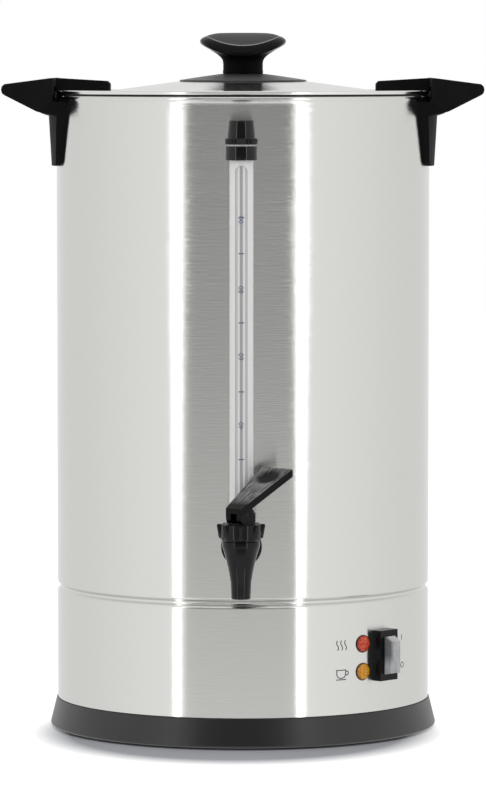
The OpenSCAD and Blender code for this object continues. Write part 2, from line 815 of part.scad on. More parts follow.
// The leg's outer face, turned round the vessel's axis so that it follows the wall, and above it
// a flat cone that stays clear of the wing
module leg_limit() {
    rotate_extrude($fn = 180) polygon([
        [0, leg_bottom - 3], [body_r + leg_end_t, leg_bottom - 3], [body_r + leg_end_t, leg_bottom],
        [body_r + leg_t, wing_low_z], [far, wing_low_z + underside / 2 * (far - body_r - leg_t)],
        [far, 2 * far], [0, 2 * far]
    ]);
}

// The wing from above, drawn in (X, Y)
module wing_plan(inset) {
    polygon([[0, -handle_half_w + inset], [body_r, -handle_half_w + inset],
             [handle_reach, -handle_tip_half_w + inset], [handle_reach, handle_tip_half_w - inset],
             [body_r, handle_half_w - inset], [0, handle_half_w - inset]]);
}

// The handle from outside, drawn in (Y, Z): wide at the rim, narrow at the leg's end
module handle_face() {
    y = leg_end_half_w - leg_end_round;
    polygon([[-handle_half_w, peak_z + 1], [-handle_half_w, wing_wide_z],
             [-wing_half_w, wing_low_z], [-leg_end_half_w, leg_bottom + leg_end_round],
             [-y, leg_bottom + leg_end_round], [-y, leg_bottom], [y, leg_bottom],
             [y, leg_bottom + leg_end_round],
             [leg_end_half_w, leg_bottom + leg_end_round], [wing_half_w, wing_low_z],
             [handle_half_w, wing_wide_z], [handle_half_w, peak_z + 1]]);
    for (side = [-1, 1]) translate([side * y, leg_bottom + leg_end_round]) circle(r = leg_end_round);
}

// The finger pocket's section, turned round the vessel's axis
module pocket_section() {
    fall = (peak_z - tip_top) / (handle_reach - body_r);
    polygon([[pocket_in_r, wing_low_z - 20], [pocket_out_r, wing_low_z - 20],
             [pocket_out_r, peak_z - fall * (pocket_out_r - body_r) - handle_wall],
             [pocket_in_r, peak_z - fall * (pocket_in_r - body_r) - handle_wall]]);
}

// Turns a section round the vessel's axis between two angles counted from the right
module turned(a0, a1) {
    rotate([0, 0, a0]) rotate_extrude(angle = a1 - a0, $fn = 180) children();
}

module in_xz(w) {
    rotate([90, 0, 0]) linear_extrude(height = w, center = true) children();
}

module sector(a0, a1, r_in, r_out, z0, z1) {
    turned(a0, a1) translate([r_in, z0]) square([r_out - r_in, z1 - z0]);
}

// A handle on the right side; the lock slot is open towards the back
module handle() difference() {
    intersection() {
        in_xz(2 * handle_half_w + 2) handle_section();
        linear_extrude(height = 2 * far) wing_plan(0);
        translate([far / 2 + 60, 0, 0]) along_x(far) handle_face();
        leg_limit();
    }
    cylinder(r = body_r + fit, h = 2 * far, $fn = 180);
    translate([0, 0, lock_z]) cylinder(r = lock_in_r, h = far, $fn = 180);
    block([0, -far, lock_z + 0.1], [body_r + slack, far, 2 * far]);
    intersection() {
        turned(-40, 40) pocket_section();
        linear_extrude(height = 2 * far) wing_plan(handle_wall + 1);
    }
    turned(-tongue_half_a - lock_turn - 0.6, slot_open_a) polygon([
        [lock_in_r - 1, slot_z], [lock_out_r, slot_z], [lock_out_r, slot_step],
        [riser_r + 0.8, slot_step], [riser_r + 0.8, slot_top], [lock_in_r - 1, slot_top]
    ]);
    sector(-notch_half_a, notch_half_a, lock_in_r - 1, notch_out_r, slot_step - 1, peak_z + 5);
    for (z = handle_screw_zs) translate([0, 0, z]) rotate([0, 90, 0]) {
        cylinder(r = handle_screw_r + fit, h = far);
        translate([0, 0, screw_seat]) cylinder(r = handle_head_r + slack, h = 40);
    }
}

module handle_right() color(black) handle();
module handle_left() color(black) rotate([0, 0, 180]) handle();

module handle_screws() color(steel) for (side = [0, 180], z = handle_screw_zs)
    rotate([0, 0, side]) translate([0, 0, z]) rotate([0, 90, 0]) difference() {
        union() {
            translate([0, 0, inner_r - handle_screw_tail])
                cylinder(r = handle_screw_r, h = screw_seat - inner_r + handle_screw_tail + 1);
            translate([0, 0, screw_seat]) cylinder(r = handle_head_r, h = handle_head_h);
        }
        translate([0, 0, screw_seat + handle_head_h]) cube([1, 5, 2], center = true);
        translate([0, 0, screw_seat + handle_head_h]) cube([5, 1, 2], center = true);
    }

module handle_nuts() color(steel) for (side = [0, 180], z = handle_screw_zs)
    rotate([0, 0, side]) translate([inner_r - 0.2 - handle_nut_h, 0, z]) rotate([0, 90, 0])
        difference() {
            hex(handle_nut_r, handle_nut_h);
            translate([0, 0, -1]) cylinder(r = handle_screw_r + fit, h = handle_nut_h + 2);
        }

// ---------------------------------------------------------------- tap

module on_tap() {
    translate([0, tap_y, 0]) children();
}

// A bar along Y from y0 to y1 at the shank's height
module shank_bar(r, y0, y1) {
    translate([0, y1, tap_z]) rotate([90, 0, 0]) cylinder(r = r, h = y1 - y0);
}

module tap_body() color(black) difference() {
    union() {
        shank_bar(shank_r, tap_y + 6, shank_end_y);
        shank_bar(flange_r, flange_y - flange_t, flange_y);
        translate([0, gauge_y, tap_z]) cylinder(r = socket_r, h = socket_top - tap_z);
        on_tap() rotate_extrude() polygon([
            [0, tap_z - spout_l], [spout_r, tap_z - spout_l], [spout_r + 0.6, tap_z - 21.2],
            [collar_r - 4.8, tap_z - 13.4], [collar_r - 3.35, tap_z - 6.9],
            [collar_r - 1.7, tap_z - 0.4], [collar_r, collar_z], [collar_r, collar_top],
            [neck_r, collar_top], [neck_r, neck_top], [0, neck_top]
        ]);
    }
    on_tap() translate([0, 0, seat_z]) cylinder(r = chamber_r, h = far);
    on_tap() translate([0, 0, tap_z - spout_l - 1]) cylinder(r = spout_bore_r, h = spout_l);
    shank_bar(water_r, tap_y + chamber_r - 2, shank_end_y + 1);
    translate([0, gauge_y, tap_z]) cylinder(r = 2.5, h = socket_top - tap_z);
    translate([0, gauge_y, socket_floor]) cylinder(r = tube_r + fit, h = far);
}

module tap_bonnet() color(black) on_tap() difference() {
    union() {
        rotate_extrude() polygon([
            [0, plug_z], [chamber_r - 0.2, plug_z], [chamber_r - 0.2, neck_top + 0.1],
            [neck_r + 0.1, neck_top + 0.1], [neck_r + 0.1, bonnet_z], [bonnet_r - 0.4, bonnet_z],
            [bonnet_r, bonnet_z + 0.6], [bonnet_r, bonnet_top - 0.6],
            [bonnet_r - 0.6, bonnet_top], [0, bonnet_top]
        ]);
        for (i = [0 : bonnet_ribs - 1]) rotate([0, 0, i * 360 / bonnet_ribs])
            rotate([90, 0, 0]) linear_extrude(height = rib_w, center = true) polygon([
                [bonnet_r - 1, bonnet_z + 1], [bonnet_r + 0.8, bonnet_z + 1],
                [bonnet_r + rib_out, bonnet_top - 2], [bonnet_r + rib_out, bonnet_top - 0.4],
                [bonnet_r - 1, bonnet_top - 0.4]
            ]);
    }
    translate([0, 0, plug_z - 1]) cylinder(r = stem_r + fit, h = far);
}

module tap_gasket() color([0.2, 0.2, 0.2]) difference() {
    shank_bar(gasket_r, flange_y, flange_y + gasket_t + 4);
    shank_bar(shank_r + fit, flange_y - 1, 0);
    cylinder(r = body_r, h = far, $fn = 180);
}

module tap_inner_gasket() color(silicone) intersection() {
    difference() {
        shank_bar(gasket_r, -body_r - 1, nut_y);
        shank_bar(shank_r + fit, -body_r - 2, 0);
    }
    cylinder(r = inner_r, h = far, $fn = 180);
}

module tap_nut() color(black) difference() {
    translate([0, nut_y + nut_h, tap_z]) rotate([90, 0, 0]) hex(nut_r, nut_h);
    shank_bar(shank_r + fit, -body_r, 0);
}

module tap_washer() color(silicone) on_tap() translate([0, 0, bonnet_top + 0.02])
    ring(washer_r, stem_r + 2 * fit, washer_t);

// The lever's own directions: u along it, v across it, w up, with the pin at the origin
module on_lever() {
    on_tap() translate([0, 0, pin_z]) rotate([0, 0, lever_a]) children();
}

module tap_stem() color([0.2, 0.2, 0.2]) difference() {
    union() {
        on_tap() translate([0, 0, cup_z + 3.4]) cylinder(r = stem_r, h = pin_z - cup_z - 3.4 - 1);
        on_lever() rotate([90, 0, 0]) cylinder(r = eye_r, h = 2 * eye_half_w, center = true);
    }
    on_lever() rotate([90, 0, 0]) cylinder(r = pin_r + 0.02, h = 20, center = true);
}

module tap_seat_cup() color(silicone) on_tap() difference() {
    translate([0, 0, cup_z]) cylinder(r1 = cup_r - 1.2, r2 = cup_r, h = cup_h);
    translate([0, 0, cup_z + 3.4]) cylinder(r = stem_r + 0.02, h = cup_h);
}

module tap_pin() color(steel) on_lever() rotate([90, 0, 0])
    cylinder(r = pin_r, h = 2 * pin_half_l, center = true);

// The paddle's section in (u, w)
module paddle_side() {
    tip = [lever_l, paddle_tip_w];
    polygon([[-block_half_l, paddle_root_w], tip, tip + paddle_t * [sin(lever_slope), -cos(lever_slope)],
             [-block_half_l, paddle_root_w - paddle_drop]]);
}

// The block's section in (u, w), with the round cam that lifts the stem
module block_side() {
    polygon([[-block_half_l, paddle_root_w], [block_neck, paddle_under + paddle_drop],
             [block_neck, paddle_under], [block_back, -1.2], [block_back_low, -block_low],
             [-cam_off, -block_low], [-cam_off, -block_low + cam_r],
             [-block_half_l, -block_low + cam_r]]);
    translate([-cam_off, -block_low + cam_r]) circle(r = cam_r);
}

module tap_handle() color(black) on_lever() difference() {
    union() {
        in_xz(2 * block_half_w) block_side();
        intersection() {
            in_xz(60) paddle_side();
            translate([0, 0, -block_low]) linear_extrude(height = 60) polygon([
                [-block_half_l - 1, -block_half_w], [lever_l, -paddle_half_w],
                [lever_l + 4, -paddle_half_w + paddle_corner],
                [lever_l + 4, paddle_half_w - paddle_corner - 3], [lever_l - 2, paddle_half_w],
                [-block_half_l - 1, block_half_w]
            ]);
        }
    }
    rotate([90, 0, 0]) cylinder(r = pin_r + fit, h = 40, center = true);
    rotate([90, 0, 0]) cylinder(r = eye_r + 0.2, h = 2 * fork_half_w, center = true);
    block([-far, -fork_half_w, -far], [stem_r + 0.25, fork_half_w, 1]);
    translate([lever_l - dimple_back, 0, paddle_tip_w - dimple_back * tan(lever_slope)])
        rotate([0, -lever_slope, 0]) translate([0, 0, dimple_r - dimple_depth]) sphere(r = dimple_r);
}

// ---------------------------------------------------------------- sight gauge

module on_gauge() {
    translate([0, gauge_y, 0]) children();
}

module gauge_tube() color(clear) on_gauge() difference() {
    translate([0, 0, tube_z]) cylinder(r = tube_r, h = tube_top - tube_z);
    translate([0, 0, tube_z - 1]) cylinder(r = tube_bore_r, h = bore_top - tube_bore_r - tube_z + 1);
    translate([0, 0, bore_top - tube_bore_r]) sphere(r = tube_bore_r);
    translate([0, 0, bore_top - 2]) cylinder(r = vent_hole_r, h = far);
}

module gauge_lower_seal() color(silicone) on_gauge()
    translate([0, 0, socket_floor]) ring(tube_r, 3, seal_h);

module gauge_bracket() color(black) difference() {
    union() {
        on_gauge() translate([0, 0, sleeve_z]) cylinder(r = sleeve_r, h = sleeve_h);
        difference() {
            block([-arm_half_w, gauge_y, gauge_z - arm_h / 2], [arm_half_w, -body_r + 4, gauge_z + arm_h / 2]);
            cylinder(r = body_r, h = 2 * far, $fn = 180);
        }
        difference() {
            translate([0, -body_r + 4, gauge_z]) rotate([90, 0, 0])
                cylinder(r = bracket_foot_r, h = 4 + bracket_foot_t);
            cylinder(r = body_r, h = 2 * far, $fn = 180);
        }
        translate([0, -inner_r + 10, gauge_z]) rotate([90, 0, 0])
            cylinder(r = bracket_stud_r, h = 12);
    }
    on_gauge() translate([0, 0, sleeve_z - 1]) cylinder(r = tube_r + fit, h = far);
}

module gauge_stud_nut() color(steel) difference() {
    translate([0, -inner_r + 0.3 + bracket_nut_h, gauge_z]) rotate([90, 0, 0])
        hex(bracket_nut_r, bracket_nut_h);
    translate([0, 0, gauge_z]) rotate([90, 0, 0]) cylinder(r = bracket_stud_r + fit, h = far);
}

module gauge_washer() color([0.95, 0.95, 0.95]) on_gauge()
    translate([0, 0, sleeve_top]) ring(gauge_washer_r, tube_r + fit, gauge_washer_t);

module gauge_upper_seal() color(silicone) on_gauge()
    translate([0, 0, tube_top]) ring(tube_r, 4, seal_h);

module gauge_cap() color(black) on_gauge() difference() {
    union() {
        translate([0, 0, cap_z]) cylinder(r = sleeve_r, h = cap_band_h);
        translate([0, 0, cap_band_top - eps]) cylinder(r1 = cap_cone_r, r2 = cap_end_r, h = cap_cone_h + eps);
    }
    for (i = [0 : cap_flutes - 1]) rotate([0, 0, (i + 0.5) * 360 / cap_flutes])
        translate([sleeve_r + 0.3, 0, cap_z - 1]) cylinder(r = 1, h = cap_band_h + 2, $fn = 24);
    translate([0, 0, cap_z - 1]) cylinder(r = tube_r + fit, h = tube_top + seal_h - cap_z + 1);
    translate([0, 0, cap_z]) cylinder(r = vent_hole_r, h = far);
}

// ---------------------------------------------------------------- percolator

module perc_stem() color(steel) difference() {
    union() {
        translate([0, 0, pump_z + 4]) cylinder(r = perc_r, h = perc_top - pump_z - 4);
        translate([0, 0, basket_z - collar_h]) cylinder(r = collar_out_r, h = collar_h);
    }
    translate([0, 0, pump_z]) cylinder(r = perc_bore_r, h = far * 2);
}

module pump_base() color(steel) difference() {
    translate([0, 0, pump_z]) rotate_extrude() polygon([
        [0, 0], [pump_r, 0], [pump_r, pump_lip_h], [perc_r + 3, pump_cone_h],
        [perc_r + 2, pump_base_h], [0, pump_base_h]
    ]);
    translate([0, 0, pump_z + 4]) cylinder(r = perc_r + 0.02, h = far);
    translate([0, 0, pump_z - 1]) cylinder(r = perc_bore_r, h = far);
    for (a = [0 : 60 : 300]) rotate([0, 0, a])
        translate([pump_r, 0, pump_z - 1]) cylinder(r = 3, h = 5);
}

module coffee_basket() color(steel) difference() {
    rotate_extrude($fn = 180) {
        translate([perc_r + sleeve_gap, basket_z]) square([basket_r - perc_r - sleeve_gap, basket_t]);
        translate([perc_r + sleeve_gap, basket_z]) square([basket_t, basket_h - 4]);
        translate([basket_r - basket_t, basket_z]) square([basket_t, basket_h]);
        translate([basket_r - basket_t, basket_z + basket_h - basket_t])
            square([basket_t + basket_rim_w, basket_t]);
    }
    for (row = [1 : 4], i = [0 : 6 * row + 1]) rotate([0, 0, i * 360 / (6 * row + 2)])
        translate([(basket_r - 12) * row / 4, 0, basket_z - 1]) cylinder(r = 1.5, h = 3, $fn = 24);
}

module basket_cover() color(steel) difference() {
    rotate_extrude($fn = 180) {
        translate([perc_r + sleeve_gap, basket_z + basket_h])
            square([basket_r + basket_rim_w - perc_r - sleeve_gap, basket_t]);
        translate([basket_r - 3 * basket_t, basket_z + basket_h - 4]) square([basket_t, 4.5]);
    }
    for (row = [1 : 3], i = [0 : 6 * row + 1]) rotate([0, 0, i * 360 / (6 * row + 2)])
        translate([(basket_r - 20) * row / 3, 0, basket_z + basket_h - 1]) cylinder(r = 2, h = 3, $fn = 24);
}

// ---------------------------------------------------------------- lid

module lid_gasket() color([0.15, 0.15, 0.15]) rotate_extrude($fn = 180) {
    z = rim_top + fit;
    translate([gasket_in_r, z]) square([body_r - 0.2 - gasket_in_r, seal_t - 2 * fit]);
    translate([gasket_in_r, z - gasket_lip_h]) square([gasket_lip_w, gasket_lip_h + 1]);
    translate([gasket_in_r, z])
        square([lid_roll_c - lid_roll_r - 0.1 - gasket_in_r, brim_top - lid_t - fit - z]);
}

module lid_dome() color(steel) difference() {
    rotate_extrude($fn = 180) {
        translate([lid_roll_c, lid_z + lid_roll_r]) circle(r = lid_roll_r);
        polygon([[lid_roll_c, brim_top], [dome_r, brim_top], [plate_top_r, plate_edge_z],
                 [dome_top_r, dome_top_z], [0, dome_top_z], [0, dome_top_z - lid_t],
                 [dome_top_r, dome_top_z - lid_t], [plate_top_r, plate_edge_z - lid_t],
                 [dome_r, brim_top - lid_t], [lid_roll_c, brim_top - lid_t]]);
    }
    translate([0, 0, rim_z]) cylinder(r = knob_screw_r + fit, h = far);
    for (side = [0, 180], x = rivet_xs) rotate([0, 0, side])
        translate([x, 0, rim_z]) cylinder(r = rivet_r + fit, h = 20);
}

module knob_plate() color([0.25, 0.25, 0.26]) difference() {
    rotate_extrude() polygon([
        [0, dome_top_z + fit], [dome_top_r, dome_top_z + fit], [plate_top_r, plate_edge_z + fit],
        [plate_top_r, plate_edge_z + 1], [knob_stem_r + 1.2, knob_plate_top], [0, knob_plate_top]
    ]);
    translate([0, 0, rim_z]) cylinder(r = knob_screw_r + fit, h = far);
}

module lid_knob() color(black) difference() {
    union() {
        translate([0, 0, knob_plate_top]) rotate_extrude() polygon([
            [0, 0], [knob_stem_r, 0], [knob_stem_r, knob_h - 22], [knob_stem_r + 2.2, knob_h - 18.4],
            [knob_stem_r + 8.5, knob_h - 14], [knob_r - 2.2, knob_h - 10],
            [knob_r - knob_edge_r, knob_h - 6.8], [knob_r - knob_edge_r, knob_h - 3.3],
            [knob_r - 9.7, knob_h - 0.6], [knob_stem_r, knob_h], [0, knob_h]
        ]);
        translate([0, 0, knob_top - 3.3 - knob_edge_r]) rotate_extrude()
            translate([knob_r - knob_edge_r, 0]) circle(r = knob_edge_r);
    }
    translate([0, 0, rim_z]) cylinder(r = knob_screw_r + fit, h = knob_plate_top + 16 - rim_z);
}

module knob_screw() color(steel) {
    translate([0, 0, dome_top_z - lid_t - 3]) cylinder(r = 5, h = 3);
    translate([0, 0, dome_top_z - lid_t - 1]) cylinder(r = knob_screw_r, h = knob_plate_top + 16 - dome_top_z);
}

// A lug on the right side of the lid, with its locking tongue in the handle's slot
module lid_lug() difference() {
    union() {
        intersection() {
            in_xz(2 * lug_half_w) polygon([
                [lug_in_x, lug_base_z], [far, lug_base_z], [far, lug_top],
                [lug_out_r, lug_top], [lug_in_x + lug_nose, lug_top - lug_fall],
                [lug_in_x, lug_top - lug_fall - lug_nose]
            ]);
            translate([0, 0, rim_z]) linear_extrude(height = 40) polygon([
                [lug_in_x, -lug_half_w + lug_cut], [lug_in_x + lug_cut, -lug_half_w],
                [far, -lug_half_w], [far, lug_half_w], [lug_in_x + lug_cut, lug_half_w],
                [lug_in_x, lug_half_w - lug_cut]
            ]);
            cylinder(r = lug_out_r, h = 2 * far, $fn = 180);
        }
        sector(-tongue_half_a, tongue_half_a, lug_out_r - 4, riser_r,
               lid_z + 2 * lid_roll_r + fit, tongue_top);
        sector(-tongue_half_a, tongue_half_a, tongue_in_r, riser_r, tongue_z, tongue_top);
        sector(-tongue_half_a, tongue_half_a, tongue_in_r, tongue_out_r, tongue_z, foot_top);
    }
    translate([0, 0, lid_z - 1]) difference() {
        cylinder(r = body_r + fit, h = 1 + 2 * lid_roll_r + fit, $fn = 180);
        cylinder(r = lid_roll_c - lid_roll_r - 1, h = far, $fn = 180);
    }
    for (x = rivet_xs) translate([x, 0, rim_z]) cylinder(r = rivet_r + 0.02, h = lug_base_z + 5 - rim_z);
}

module lid_lug_right() color(black) lid_lug();
module lid_lug_left() color(black) rotate([0, 0, 180]) lid_lug();

module lug_rivets() color(steel) for (side = [0, 180], x = rivet_xs) rotate([0, 0, side])
    translate([x, 0, brim_top - lid_t - 1.2]) {
        cylinder(r = rivet_head_r, h = 1.2);
        cylinder(r = rivet_r, h = 1.2 + lid_t + 4.8);
    }

body_shell();
tank_floor();
base_ring();
bottom_cover();
foot_ring();
tie_studs();
stud_nuts();
heat_plate();
heating_element();
boil_thermostat();
keep_warm_thermostat();
thermal_fuse();
terminal_block();
wiring();
power_inlet();
inlet_pins();
inlet_screws();
switch_housing();
switch_rocker();
switch_boot();
heating_lamp_bezel();
heating_lamp_lens();
warm_lamp_bezel();
warm_lamp_lens();
handle_left();
handle_right();
handle_screws();
handle_nuts();
tap_body();
tap_bonnet();
tap_gasket();
tap_inner_gasket();
tap_nut();
tap_washer();
tap_stem();
tap_seat_cup();
tap_pin();
tap_handle();
gauge_tube();
gauge_lower_seal();
gauge_bracket();
gauge_washer();
gauge_upper_seal();
gauge_cap();
gauge_stud_nut();
perc_stem();
pump_base();
coffee_basket();
basket_cover();
lid_gasket();
lid_dome();
knob_plate();
lid_knob();
knob_screw();
lid_lug_left();
lid_lug_right();
lug_rivets();
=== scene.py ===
"""Percolator coffee urn: the finished surfaces and materials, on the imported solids.

Shapes are worked out here in millimetres in the part's own frame (+Z up, the tap towards -Y) and
put into the meshes in metres. Angles round the wall are in degrees from the tap.
"""

import json
import math

import bmesh
import bpy
import numpy as np
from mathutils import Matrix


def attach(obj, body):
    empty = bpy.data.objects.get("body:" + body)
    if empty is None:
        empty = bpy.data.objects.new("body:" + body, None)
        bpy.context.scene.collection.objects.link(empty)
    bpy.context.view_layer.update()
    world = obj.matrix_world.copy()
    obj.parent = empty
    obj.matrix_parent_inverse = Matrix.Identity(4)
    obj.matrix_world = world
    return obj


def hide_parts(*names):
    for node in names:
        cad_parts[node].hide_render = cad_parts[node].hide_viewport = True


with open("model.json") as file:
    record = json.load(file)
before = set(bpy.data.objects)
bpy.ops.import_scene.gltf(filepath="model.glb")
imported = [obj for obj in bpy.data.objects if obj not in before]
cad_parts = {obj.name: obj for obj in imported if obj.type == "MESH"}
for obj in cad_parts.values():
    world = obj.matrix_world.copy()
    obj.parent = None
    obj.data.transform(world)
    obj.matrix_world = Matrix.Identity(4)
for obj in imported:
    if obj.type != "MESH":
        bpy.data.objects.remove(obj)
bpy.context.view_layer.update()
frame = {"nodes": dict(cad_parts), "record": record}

MM = 0.001

# ------------------------------------------------------------------ sizes in mm, angles in degrees
BODY_R, WALL = 137.5, 0.8
BODY_Z, RIM_Z = 22.4, 465.1
RIM_C, RIM_R = 136.3, 2.0
GROOVE_Z, GROOVE_HALF, GROOVE_DEEP = 105.0, 3.7, 2.4
BRIM_TOP = 470.3
KNOB_Z, KNOB_R, KNOB_DROOP, CREASE_R = 482.8, 31.7, 9.5, 27.2
TAP_Y, TAP_Z = -187.5, 146.6
BONNET_Z, BONNET_TOP = 156.1, 167.3
GAUGE_Y, TUBE_R, SLEEVE_Z, CAP_Z = -150.5, 8.5, 422.15, 433.35
SWITCH_A, SWITCH_Z = 47.5, 63.4
LAMP_A, LAMP_ZS, LAMP_MARK_A = 39.4, {"heating": 72.7, "warm": 52.5}, 31.5
SHARP = 32.0


# ------------------------------------------------------------------ shapes
def rounded(corners, steps=6, closed=False):
    """Outline through corners (x, y, reach): each corner p gives way to the parabola
    (1 - s)^2 a + 2 s (1 - s) p + s^2 b, with a and b on its two sides, `reach` away from p."""
    c = np.array([tuple(k) + (0.0,) * (3 - len(k)) for k in corners], float)
    p = c[:, :2]
    before, after = np.roll(p, 1, 0) - p, np.roll(p, -1, 0) - p
    if not closed:
        before[0], after[-1] = after[0], before[-1]
        c[[0, -1], 2] = 0
    lengths = [np.linalg.norm(v, axis=1) for v in (before, after)]
    reach = np.minimum(c[:, 2], 0.48 * np.minimum(*lengths))[:, None, None]
    s = np.linspace(0, 1, steps)[None, :, None]
    a = p[:, None] + reach * (before / lengths[0][:, None])[:, None]
    b = p[:, None] + reach * (after / lengths[1][:, None])[:, None]
    path = ((1 - s) ** 2 * a + 2 * s * (1 - s) * p[:, None] + s**2 * b).reshape(-1, 2)
    keep = np.linalg.norm(np.diff(path, axis=0, prepend=path[:1] - 1), axis=1) > 1e-6
    return path[keep]


def arc(cx, cy, r, start, end, steps=12):
    """Points (cx + r cos t, cy + r sin t) for t from start to end, in degrees."""
    t = np.radians(np.linspace(start, end, steps))
    return np.stack([cx + r * np.cos(t), cy + r * np.sin(t)], 1)


def smooth_run(knots, steps=10):
    """Catmull-Rom curve through the knots, each span cut into equal steps of its parameter."""
    k = np.asarray(knots, float)
    k = np.vstack([2 * k[0] - k[1], k, 2 * k[-1] - k[-2]])
    s = np.linspace(0, 1, steps, endpoint=False)[None, :, None]
    a, b, c, d = (k[i : len(k) - 3 + i][:, None] for i in range(4))
    spans = 0.5 * (2 * b + (c - a) * s + (2 * a - 5 * b + 4 * c - d) * s**2
                   + (3 * b - a - 3 * c + d) * s**3)
    return np.vstack([spans.reshape(-1, k.shape[1]), k[-2]])


def turned(profile, parts, y=0.0, swell=None):
    """Grid of a profile (r, z) turned round an upright axis at (0, y):
    (r cos t, y + r sin t, z). `swell(t, r, z)` adds to the radius."""
    profile = np.asarray(profile, float)
    t = np.linspace(0, 2 * np.pi, parts, endpoint=False)[None]
    r, z = profile[:, :1], profile[:, 1:] + 0 * t
    if swell is not None:
        r = r + swell(t, r, z)
    return np.stack([r * np.cos(t), y + r * np.sin(t), z], -1)


def on_wall(points, angle, height):
    """From the wall's own directions (right, up, out) at an angle to the part's frame: out grows
    along the vessel's radius, right along its tangent."""
    a = math.radians(angle)
    right, up, out = points[..., 0], points[..., 1], points[..., 2]
    r = BODY_R + out
    return np.stack([right * math.cos(a) + r * math.sin(a),
                     right * math.sin(a) - r * math.cos(a), height + up], -1)


def capped(loops):
    """Loops with both ends drawn together to a point, so that the strip is closed."""
    first, last = (loops[k].mean(0) + 0 * loops[k] for k in (0, -1))
    return np.concatenate([[first], loops, [last]])


def put(obj, body, nodes=()):
    """Names what a piece rides on and the nodes that it stands for."""
    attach(obj, body)
    if nodes:
        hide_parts(*nodes)


def meshed(name, grids, material, sharp=SHARP):
    """One mesh from grids of points P[i, j], each (P, closes along i): quads between neighbours,
    closed along j, with doubled points merged so that poles and seams close."""
    points, quads, first = [], [], 0
    for p, closed_i in grids:
        n, m = p.shape[:2]
        ids = first + np.arange(n * m).reshape(n, m)
        rows = ids if closed_i else ids[:-1]
        above = np.roll(ids, -1, 0)[: len(rows)]
        quads.append(np.stack([rows, np.roll(rows, -1, 1), np.roll(above, -1, 1), above], -1)
                     .reshape(-1, 4))
        points.append(p.reshape(-1, 3))
        first += n * m
    points, quads = np.concatenate(points) * MM, np.concatenate(quads)
    mesh = bpy.data.meshes.new(name)
    mesh.vertices.add(len(points))
    mesh.vertices.foreach_set("co", points.ravel())
    mesh.loops.add(quads.size)
    mesh.loops.foreach_set("vertex_index", quads.ravel())
    mesh.polygons.add(len(quads))
    mesh.polygons.foreach_set("loop_start", np.arange(0, quads.size, 4))
    mesh.update(calc_edges=True)
    return finished(name, mesh, material, sharp)


def finished(name, mesh, material, sharp, flat=None):
    """Merges doubled points, shades the mesh smooth between its sharp edges, and links it."""
    work = bmesh.new()
    work.from_mesh(mesh)
    bmesh.ops.remove_doubles(work, verts=work.verts, dist=2e-6)
    if flat is not None:
        bmesh.ops.dissolve_limit(work, angle_limit=math.radians(flat), verts=work.verts,
                                 edges=work.edges)
    work.to_mesh(mesh)
    work.free()
    mesh.polygons.foreach_set("use_smooth", np.ones(len(mesh.polygons), bool))
    mesh.set_sharp_from_angle(angle=math.radians(sharp))
    mesh.materials.clear()
    mesh.materials.append(material)
    obj = bpy.data.objects.new(name, mesh)
    bpy.context.scene.collection.objects.link(obj)
    return obj


def eased(name, node, material, width):
    """A solid's own shape with its sharp edges rounded off by `width` mm, as a mould leaves them."""
    source = frame["nodes"][node].data.copy()
    for attribute in [a for a in source.attributes if a.name in ("custom_normal", "sharp_face")]:
        source.attributes.remove(attribute)
    obj = finished(name, source, material, SHARP, flat=0.4 if width else None)
    if width:
        bevel = obj.modifiers.new("moulded_edges", "BEVEL")
        bevel.width, bevel.segments = width * MM, 3
        bevel.limit_method, bevel.angle_limit = "ANGLE", math.radians(28)
        bevel.use_clamp_overlap, bevel.harden_normals = True, True
        bevel.miter_outer = "MITER_ARC"
    return obj


# ------------------------------------------------------------------ materials
class Signal:
    """A shader socket that takes part in Python sums; each operator adds its Math node."""

    def __init__(self, bench, socket):
        self.bench, self.socket = bench, socket

    def maths(self, operation, *values):
        return self.bench.node("ShaderNodeMath", {"operation": operation}, dict(enumerate(values)))

    def __add__(self, other):
        return self.maths("ADD", self, other)

    def __sub__(self, other):
        return self.maths("SUBTRACT", self, other)

    def __rsub__(self, other):
        return self.maths("SUBTRACT", other, self)

    def __mul__(self, other):
        return self.maths("MULTIPLY", self, other)

    def __gt__(self, other):
        return self.maths("GREATER_THAN", self, other)

    def __lt__(self, other):
        return self.maths("LESS_THAN", self, other)

    def __pow__(self, other):
        return self.maths("POWER", self, other)

    def __abs__(self):
        return self.maths("ABSOLUTE", self)

    __radd__, __rmul__ = __add__, __mul__


